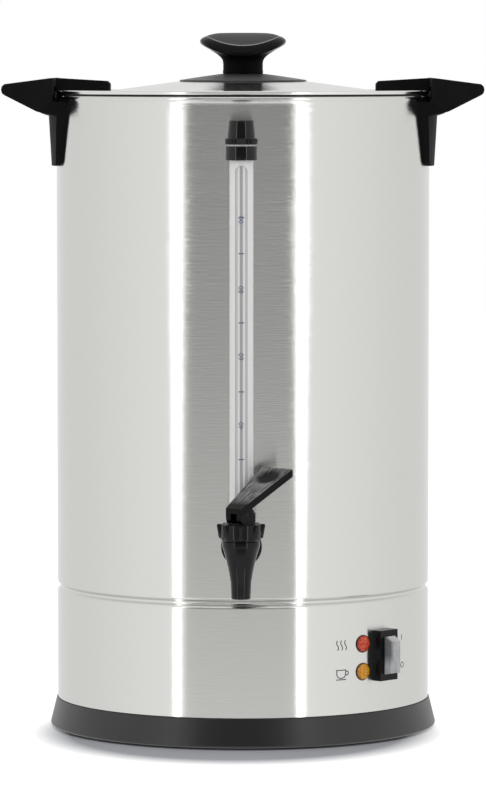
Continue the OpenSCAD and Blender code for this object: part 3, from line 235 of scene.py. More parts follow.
class Bench:
    """A node tree being filled in, for a material or the world."""

    def __init__(self, owner):
        owner.use_nodes = True
        self.owner, self.tree = owner, owner.node_tree
        self.tree.nodes.clear()

    def node(self, kind, settings=None, sockets=None, output=0):
        """Adds a node: its settings first, then its sockets' values or links."""
        made = self.tree.nodes.new(kind)
        for key, value in (settings or {}).items():
            setattr(made, key, value)
        for key, value in (sockets or {}).items():
            if isinstance(value, Signal):
                self.tree.links.new(value.socket, made.inputs[key])
            else:
                made.inputs[key].default_value = value
        return Signal(self, made.outputs[output]) if output is not None else made

    def place(self, scale):
        """Object coordinates, in metres, times one scale or a scale along each axis."""
        spot = self.node("ShaderNodeTexCoord", output=3)
        scales = scale if isinstance(scale, tuple) else (scale,) * 3
        return self.node("ShaderNodeVectorMath", {"operation": "MULTIPLY"}, {0: spot, 1: scales})

    def axes(self):
        """The three object coordinates, each a number."""
        split = self.node("ShaderNodeSeparateXYZ", None, {0: self.place(1)})
        return [Signal(self, split.socket.node.outputs[i]) for i in range(3)]

    def across_wall(self, angle):
        """Distance along the wall's tangent at an angle, from where that angle points."""
        x, y, _ = self.axes()
        return math.cos(math.radians(angle)) * x + math.sin(math.radians(angle)) * y

    def vector(self, *parts):
        """A vector of numbers and signals."""
        return self.node("ShaderNodeCombineXYZ", None, dict(enumerate(parts)))

    def noise(self, scale, detail=2.0, rough=0.5):
        """Noise whose grains are one over `scale` metres, or noise at a vector's own place."""
        spot = scale if isinstance(scale, Signal) else self.place(scale)
        return self.node("ShaderNodeTexNoise", None, {"Vector": spot, "Scale": 1.0,
                                                     "Detail": detail, "Roughness": rough})

    def cells(self, scale):
        """Distance to the nearest of scattered points."""
        return self.node("ShaderNodeTexVoronoi", None, {"Vector": self.place(scale), "Scale": 1.0})

    def mix(self, share, low, high):
        """A colour between two, by a share from 0 to 1."""
        low, high = (c if isinstance(c, Signal) else tuple(c) + (1,) for c in (low, high))
        return self.node("ShaderNodeMix", {"data_type": "RGBA"}, {0: share, 6: low, 7: high}, 2)

    def step(self, value, low, high):
        """0 below low, 1 above high, and a straight rise between."""
        return self.node("ShaderNodeMapRange", None, {0: value, 1: low, 2: high, 3: 0.0, 4: 1.0})

    def bump(self, height, depth):
        """Normals of a relief `depth` metres high."""
        return self.node("ShaderNodeBump", None,
                         {"Height": height, "Strength": 1.0, "Distance": depth})

    def finish(self, colour, rough, relief=None, uniform=None):
        """Ends the material in one Principled shader; `uniform` holds values that don't vary."""
        sockets = {"Base Color": colour if isinstance(colour, Signal) else tuple(colour) + (1,),
                   "Roughness": rough}
        sockets.update(uniform or {})
        if relief is not None:
            sockets["Normal"] = relief
        shader = self.node("ShaderNodeBsdfPrincipled", None, sockets)
        self.node("ShaderNodeOutputMaterial", None, {"Surface": shader}, None)
        return self.owner


def bench(name):
    return Bench(bpy.data.materials.new(name))


def length(*parts):
    """The length of a vector from its signals."""
    squares = [part * part for part in parts]
    return sum(squares[1:], squares[0]) ** 0.5


def grey(value):
    return (value,) * 3


def vessel_steel():
    """Steel brushed round the body, fainter towards the foot: streaks a quarter of a millimetre high
    and some 50 long, with shorter flecks and dashes, faint clouds, and a ground weld line down the
    back."""
    b = bench("brushed_vessel_steel")
    x, y, z = b.axes()
    streak = b.noise((20, 20, 3600), 4, 0.6)
    fleck = b.noise((150, 150, 1300), 3, 0.55)
    dash = b.noise((80, 80, 900), 2, 0.5)
    cloud = b.noise((6, 6, 9), 2)
    weld = (1 - b.step(abs(x), 0.0004, 0.0011)) * (y > 0)
    shade = 0.3 * streak + 0.35 * fleck + 0.35 * dash
    tone = b.step(shade + 0.15 * (cloud - 0.5), 0.36, 0.64)
    colour = b.mix(tone, (0.652, 0.652, 0.628), (0.664, 0.664, 0.640))
    colour = b.mix(0.35 * weld, colour, grey(0.45))
    rough = 0.135 + 0.05 * streak + 0.04 * cloud + 0.15 * weld
    brush = (0.3 + 0.7 * b.step(z, 0.12, 0.36)) * (streak + 1.2 * fleck + 1.6 * dash)
    relief = b.bump(brush + 1.5 * weld, 0.000032)
    return b.finish(colour, rough, relief, {"Metallic": 1.0, "Anisotropic": 0.97,
                                            "Anisotropic Rotation": 0.25})


def lid_steel():
    """Lid steel, polished in rings: fine circles round the axis, as a spinning mop leaves them."""
    b = bench("ring_polished_lid_steel")
    x, y, _ = b.axes()
    polish = b.noise(b.vector(length(x, y) * 2600, x * 9, y * 9), 3, 0.6)
    scuff = b.noise((240, 35, 60), 3)
    colour = b.mix(b.step(polish, 0.3, 0.7), (0.66, 0.66, 0.64), (0.80, 0.80, 0.78))
    rough = 0.12 + 0.06 * polish + 0.05 * scuff
    return b.finish(colour, rough, b.bump(polish, 0.000006), {"Metallic": 1.0})


def tank_steel():
    """Satin steel of the pressed and turned parts inside the tank, with a faint tide of scale."""
    b = bench("satin_tank_steel")
    x, y, z = b.axes()
    grain = b.noise(b.vector(length(x, y) * 1500, z * 1500, x * 6), 3, 0.6)
    scale = b.noise(30, 4, 0.6)
    colour = b.mix(b.step(scale, 0.35, 0.7), (0.62, 0.62, 0.60), (0.52, 0.51, 0.48))
    rough = 0.26 + 0.12 * scale + 0.06 * grain
    return b.finish(colour, rough, b.bump(grain, 0.000008), {"Metallic": 1.0})


def plated_steel():
    """Zinc plate on screws, studs and nuts: a slightly bluish skin with dull patches."""
    b = bench("plated_hardware_steel")
    patch = b.noise(420, 3)
    colour = b.mix(b.step(patch, 0.35, 0.65), (0.52, 0.53, 0.55), (0.66, 0.66, 0.66))
    return b.finish(colour, 0.25 + 0.2 * patch, b.bump(patch, 0.00001), {"Metallic": 1.0})


def moulded(name, colour, rough, grain, depth, level=0.5):
    """Moulded plastic: a spark-worn grain of pits `grain` to the metre, shinier where the clouds
    of handling wear lie, and a colour that shifts a little with both."""
    b = bench(name)
    pits = b.noise(grain, 2, 0.6)
    handled = b.noise(38, 3, 0.55)
    light = tuple(min(1.0, c * 1.35 + 0.004) for c in colour)
    tone = 0.6 * b.step(handled, 0.3, 0.75) + 0.4 * b.step(pits, 0.3, 0.7)
    roughness = rough + 0.25 * rough * (0.5 - handled) + 0.06 * (pits - 0.5)
    return b.finish(b.mix(tone, colour, light), roughness, b.bump(pits, depth),
                    {"Specular IOR Level": level})


def lever_plastic():
    """The tap lever's plastic, rubbed streaky by thumbs on the paddle's top and painted pale there
    as a sheen from the light above, where it faces up, all but the small hollow near its tip, which
    stays dark as painted shade."""
    b = bench("lever_plastic_rub_and_painted_sheen")
    pits = b.noise(2600, 2, 0.6)
    x, y, z = b.axes()
    along, across = 0.52 * x + 0.62 * y + 0.59 * z, 0.77 * x - 0.64 * y
    rub = b.noise(b.vector(110 * along, 520 * across), 4, 0.65)
    up = b.node("ShaderNodeSeparateXYZ", None, {0: b.node("ShaderNodeNewGeometry", output=1)}, 2)
    hollow_x, hollow_y, hollow_z = 0.0192, -0.1646, 0.1985
    off = length(x - hollow_x, y - hollow_y, z - hollow_z)
    # painted shade: inside the hollow near the tip the paddle is kept dark
    outside = b.step(off, 0.0068, 0.0104)
    paddle = b.step(z, 0.181, 0.185)
    # painted sheen: the up-facing paddle top is lightened in rub streaks, as if lit from above
    rub_and_painted_sheen = b.step(up, 0.3, 0.8) * b.step(rub, 0.34, 0.66) * paddle * (0.08 + 0.92 * outside)
    colour = b.mix(rub_and_painted_sheen, (0.003, 0.003, 0.0032), (0.30, 0.29, 0.295))
    rough = 0.28 + 0.16 * rub
    return b.finish(colour, rough, b.bump(pits + 2.0 * rub, 0.00002), {"Specular IOR Level": 0.12})


def knob_plastic():
    """Knob plastic: polished round its edge, turned satin on the saddle of its top with a grey
    painted reflection there, a painted highlight along the crease between the two, and dull below."""
    b = bench("polished_knob_plastic")
    x, y, z = b.axes()
    r, crease_r = length(x, y), CREASE_R * MM
    undrooped = z + KNOB_DROOP * MM / (KNOB_R * MM) ** 2 * (y * y)
    cap = (1 - b.step(r, crease_r - 0.0003, crease_r + 0.0001)) * (undrooped > 0.5083)
    lathe = b.noise(b.vector(r * 3000, x * 30, y * 30))
    crease = (1 - b.step(abs(r - crease_r), 0.0002, 0.0005)) * (z > 0.500)
    low = 1 - b.step(z, 0.494, 0.501)
    # painted reflection: the cap is grey where the black gloss would mirror the bright room; painted
    # highlight: a pale line along the crease
    colour = b.mix(cap, (0.003, 0.003, 0.0033), (0.062, 0.062, 0.063))
    colour = b.mix(0.9 * crease, colour, grey(0.33))
    rough = 0.12 + 0.38 * cap + 0.05 * lathe + 0.5 * low
    return b.finish(colour, rough, b.bump(lathe * cap, 0.00001), {"Specular IOR Level": 0.08})


def foot_rubber():
    """Black rubber with a dusty bloom."""
    b = bench("foot_rubber")
    dust = b.noise(160, 4, 0.7)
    colour = b.mix(b.step(dust, 0.4, 0.7), (0.012, 0.012, 0.012), (0.035, 0.034, 0.032))
    return b.finish(colour, 0.72 + 0.15 * dust, b.bump(dust, 0.00004), {"Specular IOR Level": 0.3})


def silicone():
    """Milky silicone: pale, softly see-into, with a faint moulding haze."""
    b = bench("milky_silicone")
    haze = b.noise(300, 3)
    colour = b.mix(haze, (0.70, 0.70, 0.66), (0.80, 0.79, 0.75))
    return b.finish(colour, 0.42 + 0.12 * haze, b.bump(haze, 0.00002),
                    {"Subsurface Weight": 0.3, "Subsurface Scale": 0.003})


def heat_aluminium():
    """Cast aluminium with a sandy skin, stained where it runs hot."""
    b = bench("cast_heat_aluminium")
    sand = b.noise(900, 3)
    stain = b.noise(25, 3)
    colour = b.mix(b.step(stain, 0.4, 0.7), (0.62, 0.63, 0.64), (0.45, 0.40, 0.34))
    return b.finish(colour, 0.42 + 0.15 * sand, b.bump(sand, 0.00006), {"Metallic": 1.0})


def element_sheath():
    """Heater sheath, blued and browned by heat along its length."""
    b = bench("heat_blued_sheath")
    heat = b.noise(60, 3)
    colour = b.mix(b.step(heat, 0.35, 0.65), (0.26, 0.22, 0.19), (0.20, 0.22, 0.28))
    return b.finish(colour, 0.38 + 0.15 * heat, b.bump(heat, 0.00002), {"Metallic": 0.9})


def glazed_ceramic():
    """Ceramic control bodies: glazed, off-white, with tea-coloured specks."""
    b = bench("glazed_control_ceramic")
    speck = b.cells(700)
    colour = b.mix(b.step(speck, 0.05, 0.18), (0.45, 0.38, 0.28), (0.80, 0.78, 0.71))
    return b.finish(colour, 0.28 + 0.2 * speck, b.bump(speck, 0.00002))


def brass():
    """Drawn brass with a patchy tarnish."""
    b = bench("drawn_brass")
    tarnish = b.noise((500, 500, 90), 4, 0.6)
    colour = b.mix(b.step(tarnish, 0.35, 0.7), (0.70, 0.52, 0.22), (0.45, 0.32, 0.14))
    return b.finish(colour, 0.24 + 0.25 * tarnish, b.bump(tarnish, 0.00001), {"Metallic": 1.0})


def wire_cover():
    """Woven glass sleeve on the wires: a fine diagonal weave over brown."""
    b = bench("woven_wire_cover")
    weave = b.node("ShaderNodeTexWave", {"bands_direction": "DIAGONAL"},
                   {"Vector": b.place(900), "Scale": 1.0, "Distortion": 1.5}, 1)
    colour = b.mix(weave, (0.13, 0.055, 0.025), (0.26, 0.14, 0.07))
    return b.finish(colour, 0.6 + 0.2 * weave, b.bump(weave, 0.00008))


def gauge_clear():
    """Milk-white gauge acrylic with a clear window down its front, as wide as the bore looks and
    round at the top, where the view through it is painted in: grey, with a painted highlight line on
    both sides of the middle and a fine painted dark edge."""
    b = bench("milky_gauge_acrylic")
    x, y, z = b.axes()
    window_r, arch_z = 0.0042, 0.414
    lines = b.noise((2200, 2200, 12), 2)
    off = length(x, z.maths("MAXIMUM", z - arch_z, 0.0))
    front = y < GAUGE_Y * MM
    # painted reflection and shade: the window is painted grey for the bore seen through it, with
    # painted highlight lines and a painted dark edge
    window = (1 - b.step(off, window_r - 0.0001, window_r + 0.0001)) * front
    edge = (1 - b.step(abs(off - window_r), 0.0001, 0.0004)) * front
    bright = 1 - b.step(abs(abs(x) - 0.0018), 0.0005, 0.0008)
    middle = 1 - b.step(abs(x), 0.0010, 0.0013)
    glass = b.mix(bright, b.mix(middle, grey(0.62), grey(0.48)), grey(0.96))
    colour = b.mix(edge * 0.6, b.mix(window, (0.97, 0.975, 0.97), glass), grey(0.34))
    return b.finish(colour, 0.03 + 0.03 * lines, None, {"Transmission Weight": 0.12, "IOR": 1.49})


def lens_plastic(name, height, deep, bright):
    """Clear coloured lamp lens: a net of small prisms behind a polished face, brighter inside, and a
    painted brown shade towards its rim. The lens sits at a height in mm."""
    b = bench(name)
    up = b.axes()[2] - height * MM
    # painted shade: the lens colour darkens to brown towards its rim
    rim = b.step(length(b.across_wall(LAMP_A), up), 0.0049, 0.0059)
    prism = b.cells(620)
    glow = b.step(prism, 0.1, 0.75)
    colour = b.mix(0.85 * rim, b.mix(glow, bright, deep), tuple(0.16 * c for c in deep))
    return b.finish(colour, 0.10 + 0.08 * prism, b.bump(prism, 0.00007),
                    {"Specular IOR Level": 0.3, "Coat Weight": 0.2, "Coat Roughness": 0.04,
                     "Subsurface Weight": 0.15, "Subsurface Scale": 0.002})


def boot_silicone():
    """Clear splash boot: smoky silicone that shows a little of what is under it, with haze and
    bright ghosts where it is handled, and a painted shade high up on the side towards the lamps, for
    the dark parts seen through it."""
    b = bench("smoky_boot_silicone")
    # painted shade: darker high up on the side towards the lamps
    painted_see_through_shade = 1 - b.step(b.across_wall(SWITCH_A), -0.0048, -0.0015)
    painted_see_through_shade *= b.step(b.axes()[2], 0.056, 0.064)
    ghost = b.noise((260, 260, 110), 3, 0.6)
    fine = b.noise(1500, 2)
    colour = b.mix(b.step(ghost + 0.15 * fine, 0.40, 0.78), (0.58, 0.60, 0.62), (0.86, 0.87, 0.88))
    colour = b.mix(0.75 * painted_see_through_shade, colour, grey(0.10))
    return b.finish(colour, 0.16 + 0.12 * fine, b.bump(ghost, 0.00008),
                    {"Transmission Weight": 0.35, "IOR": 1.41})


def printed(name, ink):
    """Screen-printed ink, slightly thin in places."""
    b = bench(name)
    thin = b.noise(2500, 2)
    pale = tuple(0.75 * c + 0.12 for c in ink)
    return b.finish(b.mix(b.step(thin, 0.5, 0.8), ink, pale), 0.5 + 0.1 * thin)


# ------------------------------------------------------------------ camera, floor and light
VIEW_AWAY, VIEW_UP = 3.579, 0.4912
VIEW_TURN, VIEW_DIP = math.radians(0.43), math.radians(3.99)
eye = bpy.data.objects.new("camera", bpy.data.cameras.new("camera"))
eye.data.sensor_fit, eye.data.sensor_height, eye.data.lens = "VERTICAL", 36.0, 217.8
eye.data.clip_end = 50
eye.location = (VIEW_AWAY * math.sin(VIEW_TURN), -VIEW_AWAY * math.cos(VIEW_TURN), VIEW_UP)
eye.rotation_euler = (math.pi / 2 - VIEW_DIP, 0, VIEW_TURN)
bpy.context.scene.collection.objects.link(eye)
bpy.context.scene.camera = eye


def studio():
    """Pale surroundings: white to the eye and to glass, nearly so to metal, where they fall off a
    little behind the urn, and softer as light."""
    world = bpy.data.worlds.new("studio")
    bpy.context.scene.world = world
    b = Bench(world)
    rays = b.node("ShaderNodeLightPath")
    seen = [Signal(b, rays.socket.node.outputs[k])
            for k in ("Is Camera Ray", "Is Glossy Ray", "Is Transmission Ray")]
    white = seen[0].maths("MAXIMUM", seen[0].maths("MAXIMUM", seen[0], seen[1]), seen[2])
    way = b.node("ShaderNodeSeparateXYZ", None, {0: b.node("ShaderNodeTexCoord")}, 1)
    falling = seen[1] * (0.03 + 0.13 * way)
    glow = b.node("ShaderNodeBackground", None,
                  {"Color": (1, 1, 1, 1), "Strength": 0.62 + 0.38 * white - falling})
    b.node("ShaderNodeOutputWorld", None, {"Surface": glow}, None)


def softbox(name, turn, away, height, wide, tall, shine, tilt=90.0):
    """An area lamp `away` metres off at an angle, facing the urn: `shine` is its radiance."""
    lamp = bpy.data.lights.new(name, "AREA")
    lamp.shape, lamp.size, lamp.size_y = "RECTANGLE", wide, tall
    lamp.energy = shine * math.pi * wide * tall
    obj = bpy.data.objects.new(name, lamp)
    a = math.radians(turn)
    obj.location = (away * math.sin(a), -away * math.cos(a), height)
    obj.rotation_euler = (math.radians(tilt), 0, a)
    bpy.context.scene.collection.objects.link(obj)
    return obj


def floor_material():
    """Pale floor: a little of its white comes by itself to the eye, and less of it right round the
    foot, so the contact shadow stays, and there its colour is darkened as a painted contact shadow:
    inside an oval, deeper than wide, that lies ahead of the axis."""
    b = bench("pale_floor")
    speck = b.noise(40)
    rays = b.node("ShaderNodeLightPath")
    x, y, _ = b.axes()
    oval_x, oval_y, narrower = -0.004, -0.05, 1.12
    clear = b.step(length(narrower * (x - oval_x), y - oval_y), 0.137, 0.172)
    pale = b.mix(speck, grey(0.80), grey(0.82))
    # painted contact shadow: the floor's colour goes grey-blue inside the oval
    shade = b.node("ShaderNodeBsdfDiffuse", None,
                   {"Color": b.mix(clear, (0.42, 0.43, 0.46), pale)})
    own = b.node("ShaderNodeEmission", None,
                 {"Color": (1, 1, 1, 1), "Strength": 0.56 * rays * clear})
    both = b.node("ShaderNodeAddShader", None, {0: shade, 1: own})
    b.node("ShaderNodeOutputMaterial", None, {"Surface": both}, None)
    return b.owner


def grey_card():
    """The dim room in front of the urn, which its front mirrors: lighter and lighter towards the
    ground, and dark straight below, where only what faces down looks."""
    b = bench("grey_card")
    z = b.axes()[2]
    light = (1 - b.step(z, -0.7, 0.2)) * b.step(z, -2.6, -1.6)
    glow = b.node("ShaderNodeEmission", None,
                  {"Color": (1, 1, 1, 1), "Strength": 0.26 + 0.90 * light})
    b.node("ShaderNodeOutputMaterial", None, {"Surface": glow}, None)
    b.owner.cycles.emission_sampling = "NONE"
    return b.owner


def backdrop(name, points, material):
    """A stage sheet from a grid of points in metres."""
    mesh = bpy.data.meshes.new(name)
    n, m = points.shape[:2]
    ids = np.arange(n * m).reshape(n, m)
    quads = np.stack([ids[:-1, :-1], ids[:-1, 1:], ids[1:, 1:], ids[1:, :-1]], -1).reshape(-1, 4)
    mesh.from_pydata(points.reshape(-1, 3).tolist(), [], quads.tolist())
    mesh.materials.append(material)
    obj = bpy.data.objects.new(name, mesh)
    bpy.context.scene.collection.objects.link(obj)
    return obj


studio()
side = np.linspace(-6, 6, 3)
flat_x, flat_y = np.meshgrid(side, side)
floor = backdrop("floor", np.stack([flat_x, flat_y, 0 * flat_x], -1), floor_material())
floor.visible_glossy = False
CARD_AWAY, CARD_HALF_TURN, CARD_LOW, CARD_HIGH = 2.9, 34.5, -6.0, 2.8
bend = np.radians(np.linspace(-CARD_HALF_TURN, CARD_HALF_TURN, 24))[None]
rise = np.linspace(CARD_LOW, CARD_HIGH, 3)[:, None]
card = backdrop("grey_card", np.stack([
    CARD_AWAY * np.sin(bend) + 0 * rise, -CARD_AWAY * np.cos(bend) + 0 * rise,
    rise + 0 * bend], -1), grey_card())
card.visible_camera = card.visible_diffuse = False
card.visible_shadow = card.visible_transmission = False
softbox("left_strip", turn=-39.7, away=2.7, height=0.5, wide=0.132, tall=3.6, shine=4.0)
softbox("right_strip", turn=35.4, away=2.7, height=0.5, wide=0.163, tall=3.6, shine=4.0)
overhead = softbox("overhead", turn=0, away=0.3, height=2.3, wide=2.2, tall=2.2, shine=1.1, tilt=0)
overhead.visible_glossy = False

# ------------------------------------------------------------------ finishes
STEEL, LID_STEEL, TANK, PLATED = vessel_steel(), lid_steel(), tank_steel(), plated_steel()
HANDLE = moulded("satin_handle_plastic", (0.0045, 0.0045, 0.0047), 0.60, 1900, 0.00003, level=0.05)
BASE = moulded("satin_base_plastic", (0.004, 0.004, 0.0042), 0.34, 1500, 0.00003, level=0.6)
TAP = moulded("polished_tap_plastic", (0.002, 0.0022, 0.0023), 0.10, 900, 0.000005, level=0.22)
GAUGE = moulded("polished_gauge_plastic", (0.0015, 0.0015, 0.0016), 0.08, 900, 0.000004, level=0.32)
SWITCH = moulded("smooth_switch_plastic", (0.003, 0.0032, 0.0036), 0.24, 1800, 0.00001, level=0.18)
INLET = moulded("grained_inlet_plastic", (0.011, 0.011, 0.011), 0.48, 1700, 0.00004)
PLATE = moulded("satin_plate_plastic", (0.055, 0.056, 0.058), 0.44, 1600, 0.00002, level=0.5)
WASHER = moulded("white_washer_plastic", (0.78, 0.78, 0.77), 0.35, 1200, 0.00001)
TERMINAL = moulded("natural_terminal_plastic", (0.70, 0.69, 0.62), 0.40, 1500, 0.00002)
SEAL = moulded("seal_rubber", (0.014, 0.014, 0.014), 0.55, 900, 0.00003, level=0.35)
LEVER, KNOB, RUBBER, SILICONE = lever_plastic(), knob_plastic(), foot_rubber(), silicone()
ALUMINIUM, SHEATH, CERAMIC = heat_aluminium(), element_sheath(), glazed_ceramic()
BRASS, WIRE, CLEAR = brass(), wire_cover(), gauge_clear()
ROCKER = moulded("smooth_rocker_plastic", (0.045, 0.047, 0.052), 0.25, 1800, 0.00001, level=0.5)
BOOT = boot_silicone()
RED = lens_plastic("red_lens_plastic", LAMP_ZS["heating"],
                   deep=(0.50, 0.035, 0.015), bright=(0.86, 0.15, 0.050))
AMBER = lens_plastic("amber_lens_plastic", LAMP_ZS["warm"],
                     deep=(0.60, 0.22, 0.008), bright=(0.95, 0.47, 0.020))
GAUGE_INK = printed("gauge_print", (0.09, 0.11, 0.20))
PANEL_INK = printed("panel_print", (0.09, 0.09, 0.09))


# ------------------------------------------------------------------ vessel, base and lid
def vessel():
    """The body sheet turned round its axis: out r = R - d cos^2(pi (z - zg) / 2w) through the
    rolled groove, over the rim bead's arc, and back down the inside a wall's thickness away. The
    extra rings on straight stretches keep the shading of the long wall even."""
    z = np.concatenate([[-5.0, -4.3], np.linspace(-GROOVE_HALF, GROOVE_HALF, 25), [4.3, 5.0]])
    dent = GROOVE_DEEP * np.cos(
        np.pi * np.clip(z, -GROOVE_HALF, GROOVE_HALF) / (2 * GROOVE_HALF)) ** 2
    groove = np.stack([BODY_R - dent, GROOVE_Z + z], 1)
    back = np.stack([BODY_R - WALL - dent, GROOVE_Z + z * 1.16], 1)
    profile = np.vstack([
        [[BODY_R - WALL, BODY_Z], [BODY_R - 0.2, BODY_Z], [BODY_R, BODY_Z + 0.2],
         [BODY_R, BODY_Z + 0.8], [BODY_R, BODY_Z + 1.6]], groove,
        [[BODY_R, RIM_Z - 5.6], [BODY_R, RIM_Z - 4.8], [BODY_R, RIM_Z - 4.0],
         [BODY_R + 0.05, RIM_Z - 2.9]],
        arc(RIM_C, RIM_Z, RIM_R, -40, 205, 26), [[BODY_R - WALL, RIM_Z - 3.4]], back[::-1]])
    obj = meshed("vessel_sheet", [(turned(profile, 320), True)], STEEL)
    put(obj, "urn", ["body_shell"])


def base_skirt():
    """The base ring's outline turned round: a hollow cone with a softened foot, a shadow groove
    under the body sheet, its spigot and its inner flange."""
    profile = rounded([
        (134.5, 1.5, 0), (141.7, 1.5, 0.5), (142.9, 2.7, 0.6), (142.5, 4.3, 0), (138.4, 21.1, 0),
        (138.2, 21.9, 0.3), (137.0, 21.9, 0.1), (137.0, BODY_Z, 0), (136.4, BODY_Z, 0),
        (136.4, 30.4, 0.4), (133.9, 30.4, 0.4), (133.9, 9.5, 0.6), (122.5, 9.5, 0.4),
        (122.5, 7.0, 0.2), (134.5, 7.0, 0)], 6, True)
    obj = meshed("base_skirt", [(turned(profile, 256), True)], BASE)
    put(obj, "urn", ["base_ring"])


def foot():
    """The rubber foot ring turned round, with two grip grooves in its tread."""
    profile = rounded([
        (126, 0.0, 0.7), (128.3, 0.0, 0.2), (128.6, 0.5, 0.2), (129.0, 0.5, 0.2), (129.3, 0.0, 0.2),
        (130.3, 0.0, 0.2), (130.6, 0.5, 0.2), (131.0, 0.5, 0.2), (131.3, 0.0, 0.2),
        (133, 0.0, 0.7), (133, 4.5, 0), (126, 4.5, 0)], 4, True)
    obj = meshed("foot_tread", [(turned(profile, 224), True)], RUBBER)
    put(obj, "urn", ["foot_ring"])


def lid():
    """The lid sheet turned round: rolled edge, flat brim, and a soft break up to the knob plate."""
    under = rounded([(0, 7.1), (40, 7.1, 2), (46.8, 6.2, 3), (99, -0.8, 9), (134.9, -0.8)])
    over = rounded([(135.1, 0), (99, 0, 9), (46.8, 7.0, 3), (40, 7.9, 2), (0, 7.9)])
    edge = arc(136.15, 0, 1.35, -160, 128, 20)
    edge[:, 1] = np.where(edge[:, 1] < 0, 1.3, 1.0) * edge[:, 1] - 0.85
    profile = np.vstack([under, edge, over]) + [0, BRIM_TOP]
    obj = meshed("lid_sheet", [(turned(profile, 288), False)], LID_STEEL, 50)
    put(obj, "lid", ["lid_dome"])


def lid_ring():
    """The lid's rubber gasket turned round, between rim and lid, with its lip down the inside."""
    profile = rounded([
        (131.5, -11.15, 0.5), (133.3, -11.15, 0.5), (133.3, -3.15, 0.4), (137.3, -3.15, 0.3),
        (137.3, -2.65, 0.2), (134.7, -2.65, 0), (134.7, -0.85, 0), (131.5, -0.85, 0.3)],
        4, True) + [0, BRIM_TOP]
    obj = meshed("lid_seal_ring", [(turned(profile, 224), True)], SEAL)
    put(obj, "lid_seal", ["lid_gasket"])


def plate():
    """The knob plate turned round: a shallow cone, a little full, on a thin edge."""
    cone = smooth_run([(46.75, 7.95), (39, 9.2), (28, 10.85), (20, 11.95), (16, 12.5)], 8)
    profile = np.vstack([[[0, 7.95], [40, 7.95], [46.6, 7.1], [46.8, 7.25], [46.8, 7.8]], cone,
                         [[0, 12.5]]]) + [0, BRIM_TOP]
    obj = meshed("knob_plate_cone", [(turned(profile, 192), False)], PLATE, 40)
    put(obj, "lid", ["knob_plate"])


def knob():
    """The knob turned round: stem with a foot bead, a hollow flare, a full edge, and a satin cap
    behind a fine crease. Front and back droop with the square of their distance from the middle:
    z falls by d (y / R)^2, less and less down the flare and not at all on the stem."""
    edge = smooth_run([
        (14.65, 4.5), (14.7, 8.0), (15.6, 11.0), (18.8, 14.2), (23.6, 17.2), (28.2, 19.9),
        (31.0, 22.0), (KNOB_R, 23.9), (31.3, 25.3), (29.7, 26.7), (27.8, 27.6)], 7)
    profile = np.vstack([
        rounded([(0, 0), (14.8, 0, 0.5), (14.8, 2.6, 0.5), (14.6, 2.9, 0.1), (14.6, 4.0)], 4), edge,
        rounded([(27.6, 27.7), (27.35, 27.45, 0.1), (27.0, 27.9, 0.25), (23, 29.2, 3),
                 (18, 30.0, 4), (8, 30.2, 4), (0, 30.2)], 5)]) + [0, KNOB_Z]
    grid = turned(profile, 224)
    flare = np.clip((grid[..., 2] - KNOB_Z - 8) / 14, 0, 1)
    grid[..., 2] -= KNOB_DROOP * flare * (grid[..., 1] / KNOB_R) ** 2
    obj = meshed("knob_turning", [(grid, False)], KNOB, 40)
    put(obj, "lid", ["lid_knob"])


for build in (vessel, base_skirt, foot, lid, lid_ring, plate, knob):
    build()

# ------------------------------------------------------------------ handles and lugs
for which in ("left", "right"):
    put(eased(f"handle_{which}_grip", f"handle_{which}", HANDLE, 0.7), "urn",
        [f"handle_{which}"])
    put(eased(f"lug_{which}_block", f"lid_lug_{which}", HANDLE, 0.8), "lid",
        [f"lid_lug_{which}"])


# ------------------------------------------------------------------ sight gauge
def gauge_tube():
    """The clear tube turned round: outside, over the ends, and down the bore from its dome."""
    profile = np.vstack([
        rounded([(3.0, 158.0), (TUBE_R, 158.0, 0.3), (TUBE_R, 439.05, 0.3), (0.6, 439.05, 0.2),
                 (0.6, 418.3)], 4),
        arc(0, 415.05, 3.0, 78, 0, 12)])
    obj = meshed("gauge_tube_wall", [(turned(profile, 96, GAUGE_Y), True)], CLEAR)
    put(obj, "urn", ["gauge_tube"])


def gauge_cap():
    """The cap turned round: a band with 28 ridges, r + 0.32 cos 28 t, under a smooth cone."""
    def ridges(t, r, z):
        on_band = (z > CAP_Z + 0.3) & (z < CAP_Z + 4.0) & (r > 10.6)
        return np.where(on_band, 0.32 * np.cos(28 * t) - 0.2, 0)

    profile = rounded([
        (8.9, 0, 0), (11.2, 0, 0.2), (11.3, 0.35, 0.1), (11.3, 0.85, 0), (11.3, 3.45, 0),
        (11.3, 3.95, 0.1), (11.15, 4.2, 0.2), (10.1, 4.2, 0.15), (8.85, 16.45, 0.4),
        (8.2, 16.9, 0.5), (0.6, 16.9, 0.1), (0.6, 7.75, 0), (8.9, 7.75, 0)], 4, True) + [0, CAP_Z]
    obj = meshed("gauge_cap_turning", [(turned(profile, 448, GAUGE_Y, ridges), True)], GAUGE)
    put(obj, "urn", ["gauge_cap"])


def gauge_washer():
    """The white washer turned round, with soft edges."""
    low, high = CAP_Z - 1.3, CAP_Z
    profile = rounded([(8.9, low, 0), (10.0, low, 0.3), (10.0, high, 0.3), (8.9, high, 0)], 5, True)
    obj = meshed("gauge_washer_ring", [(turned(profile, 128, GAUGE_Y), True)], WASHER)
    put(obj, "urn", ["gauge_washer"])


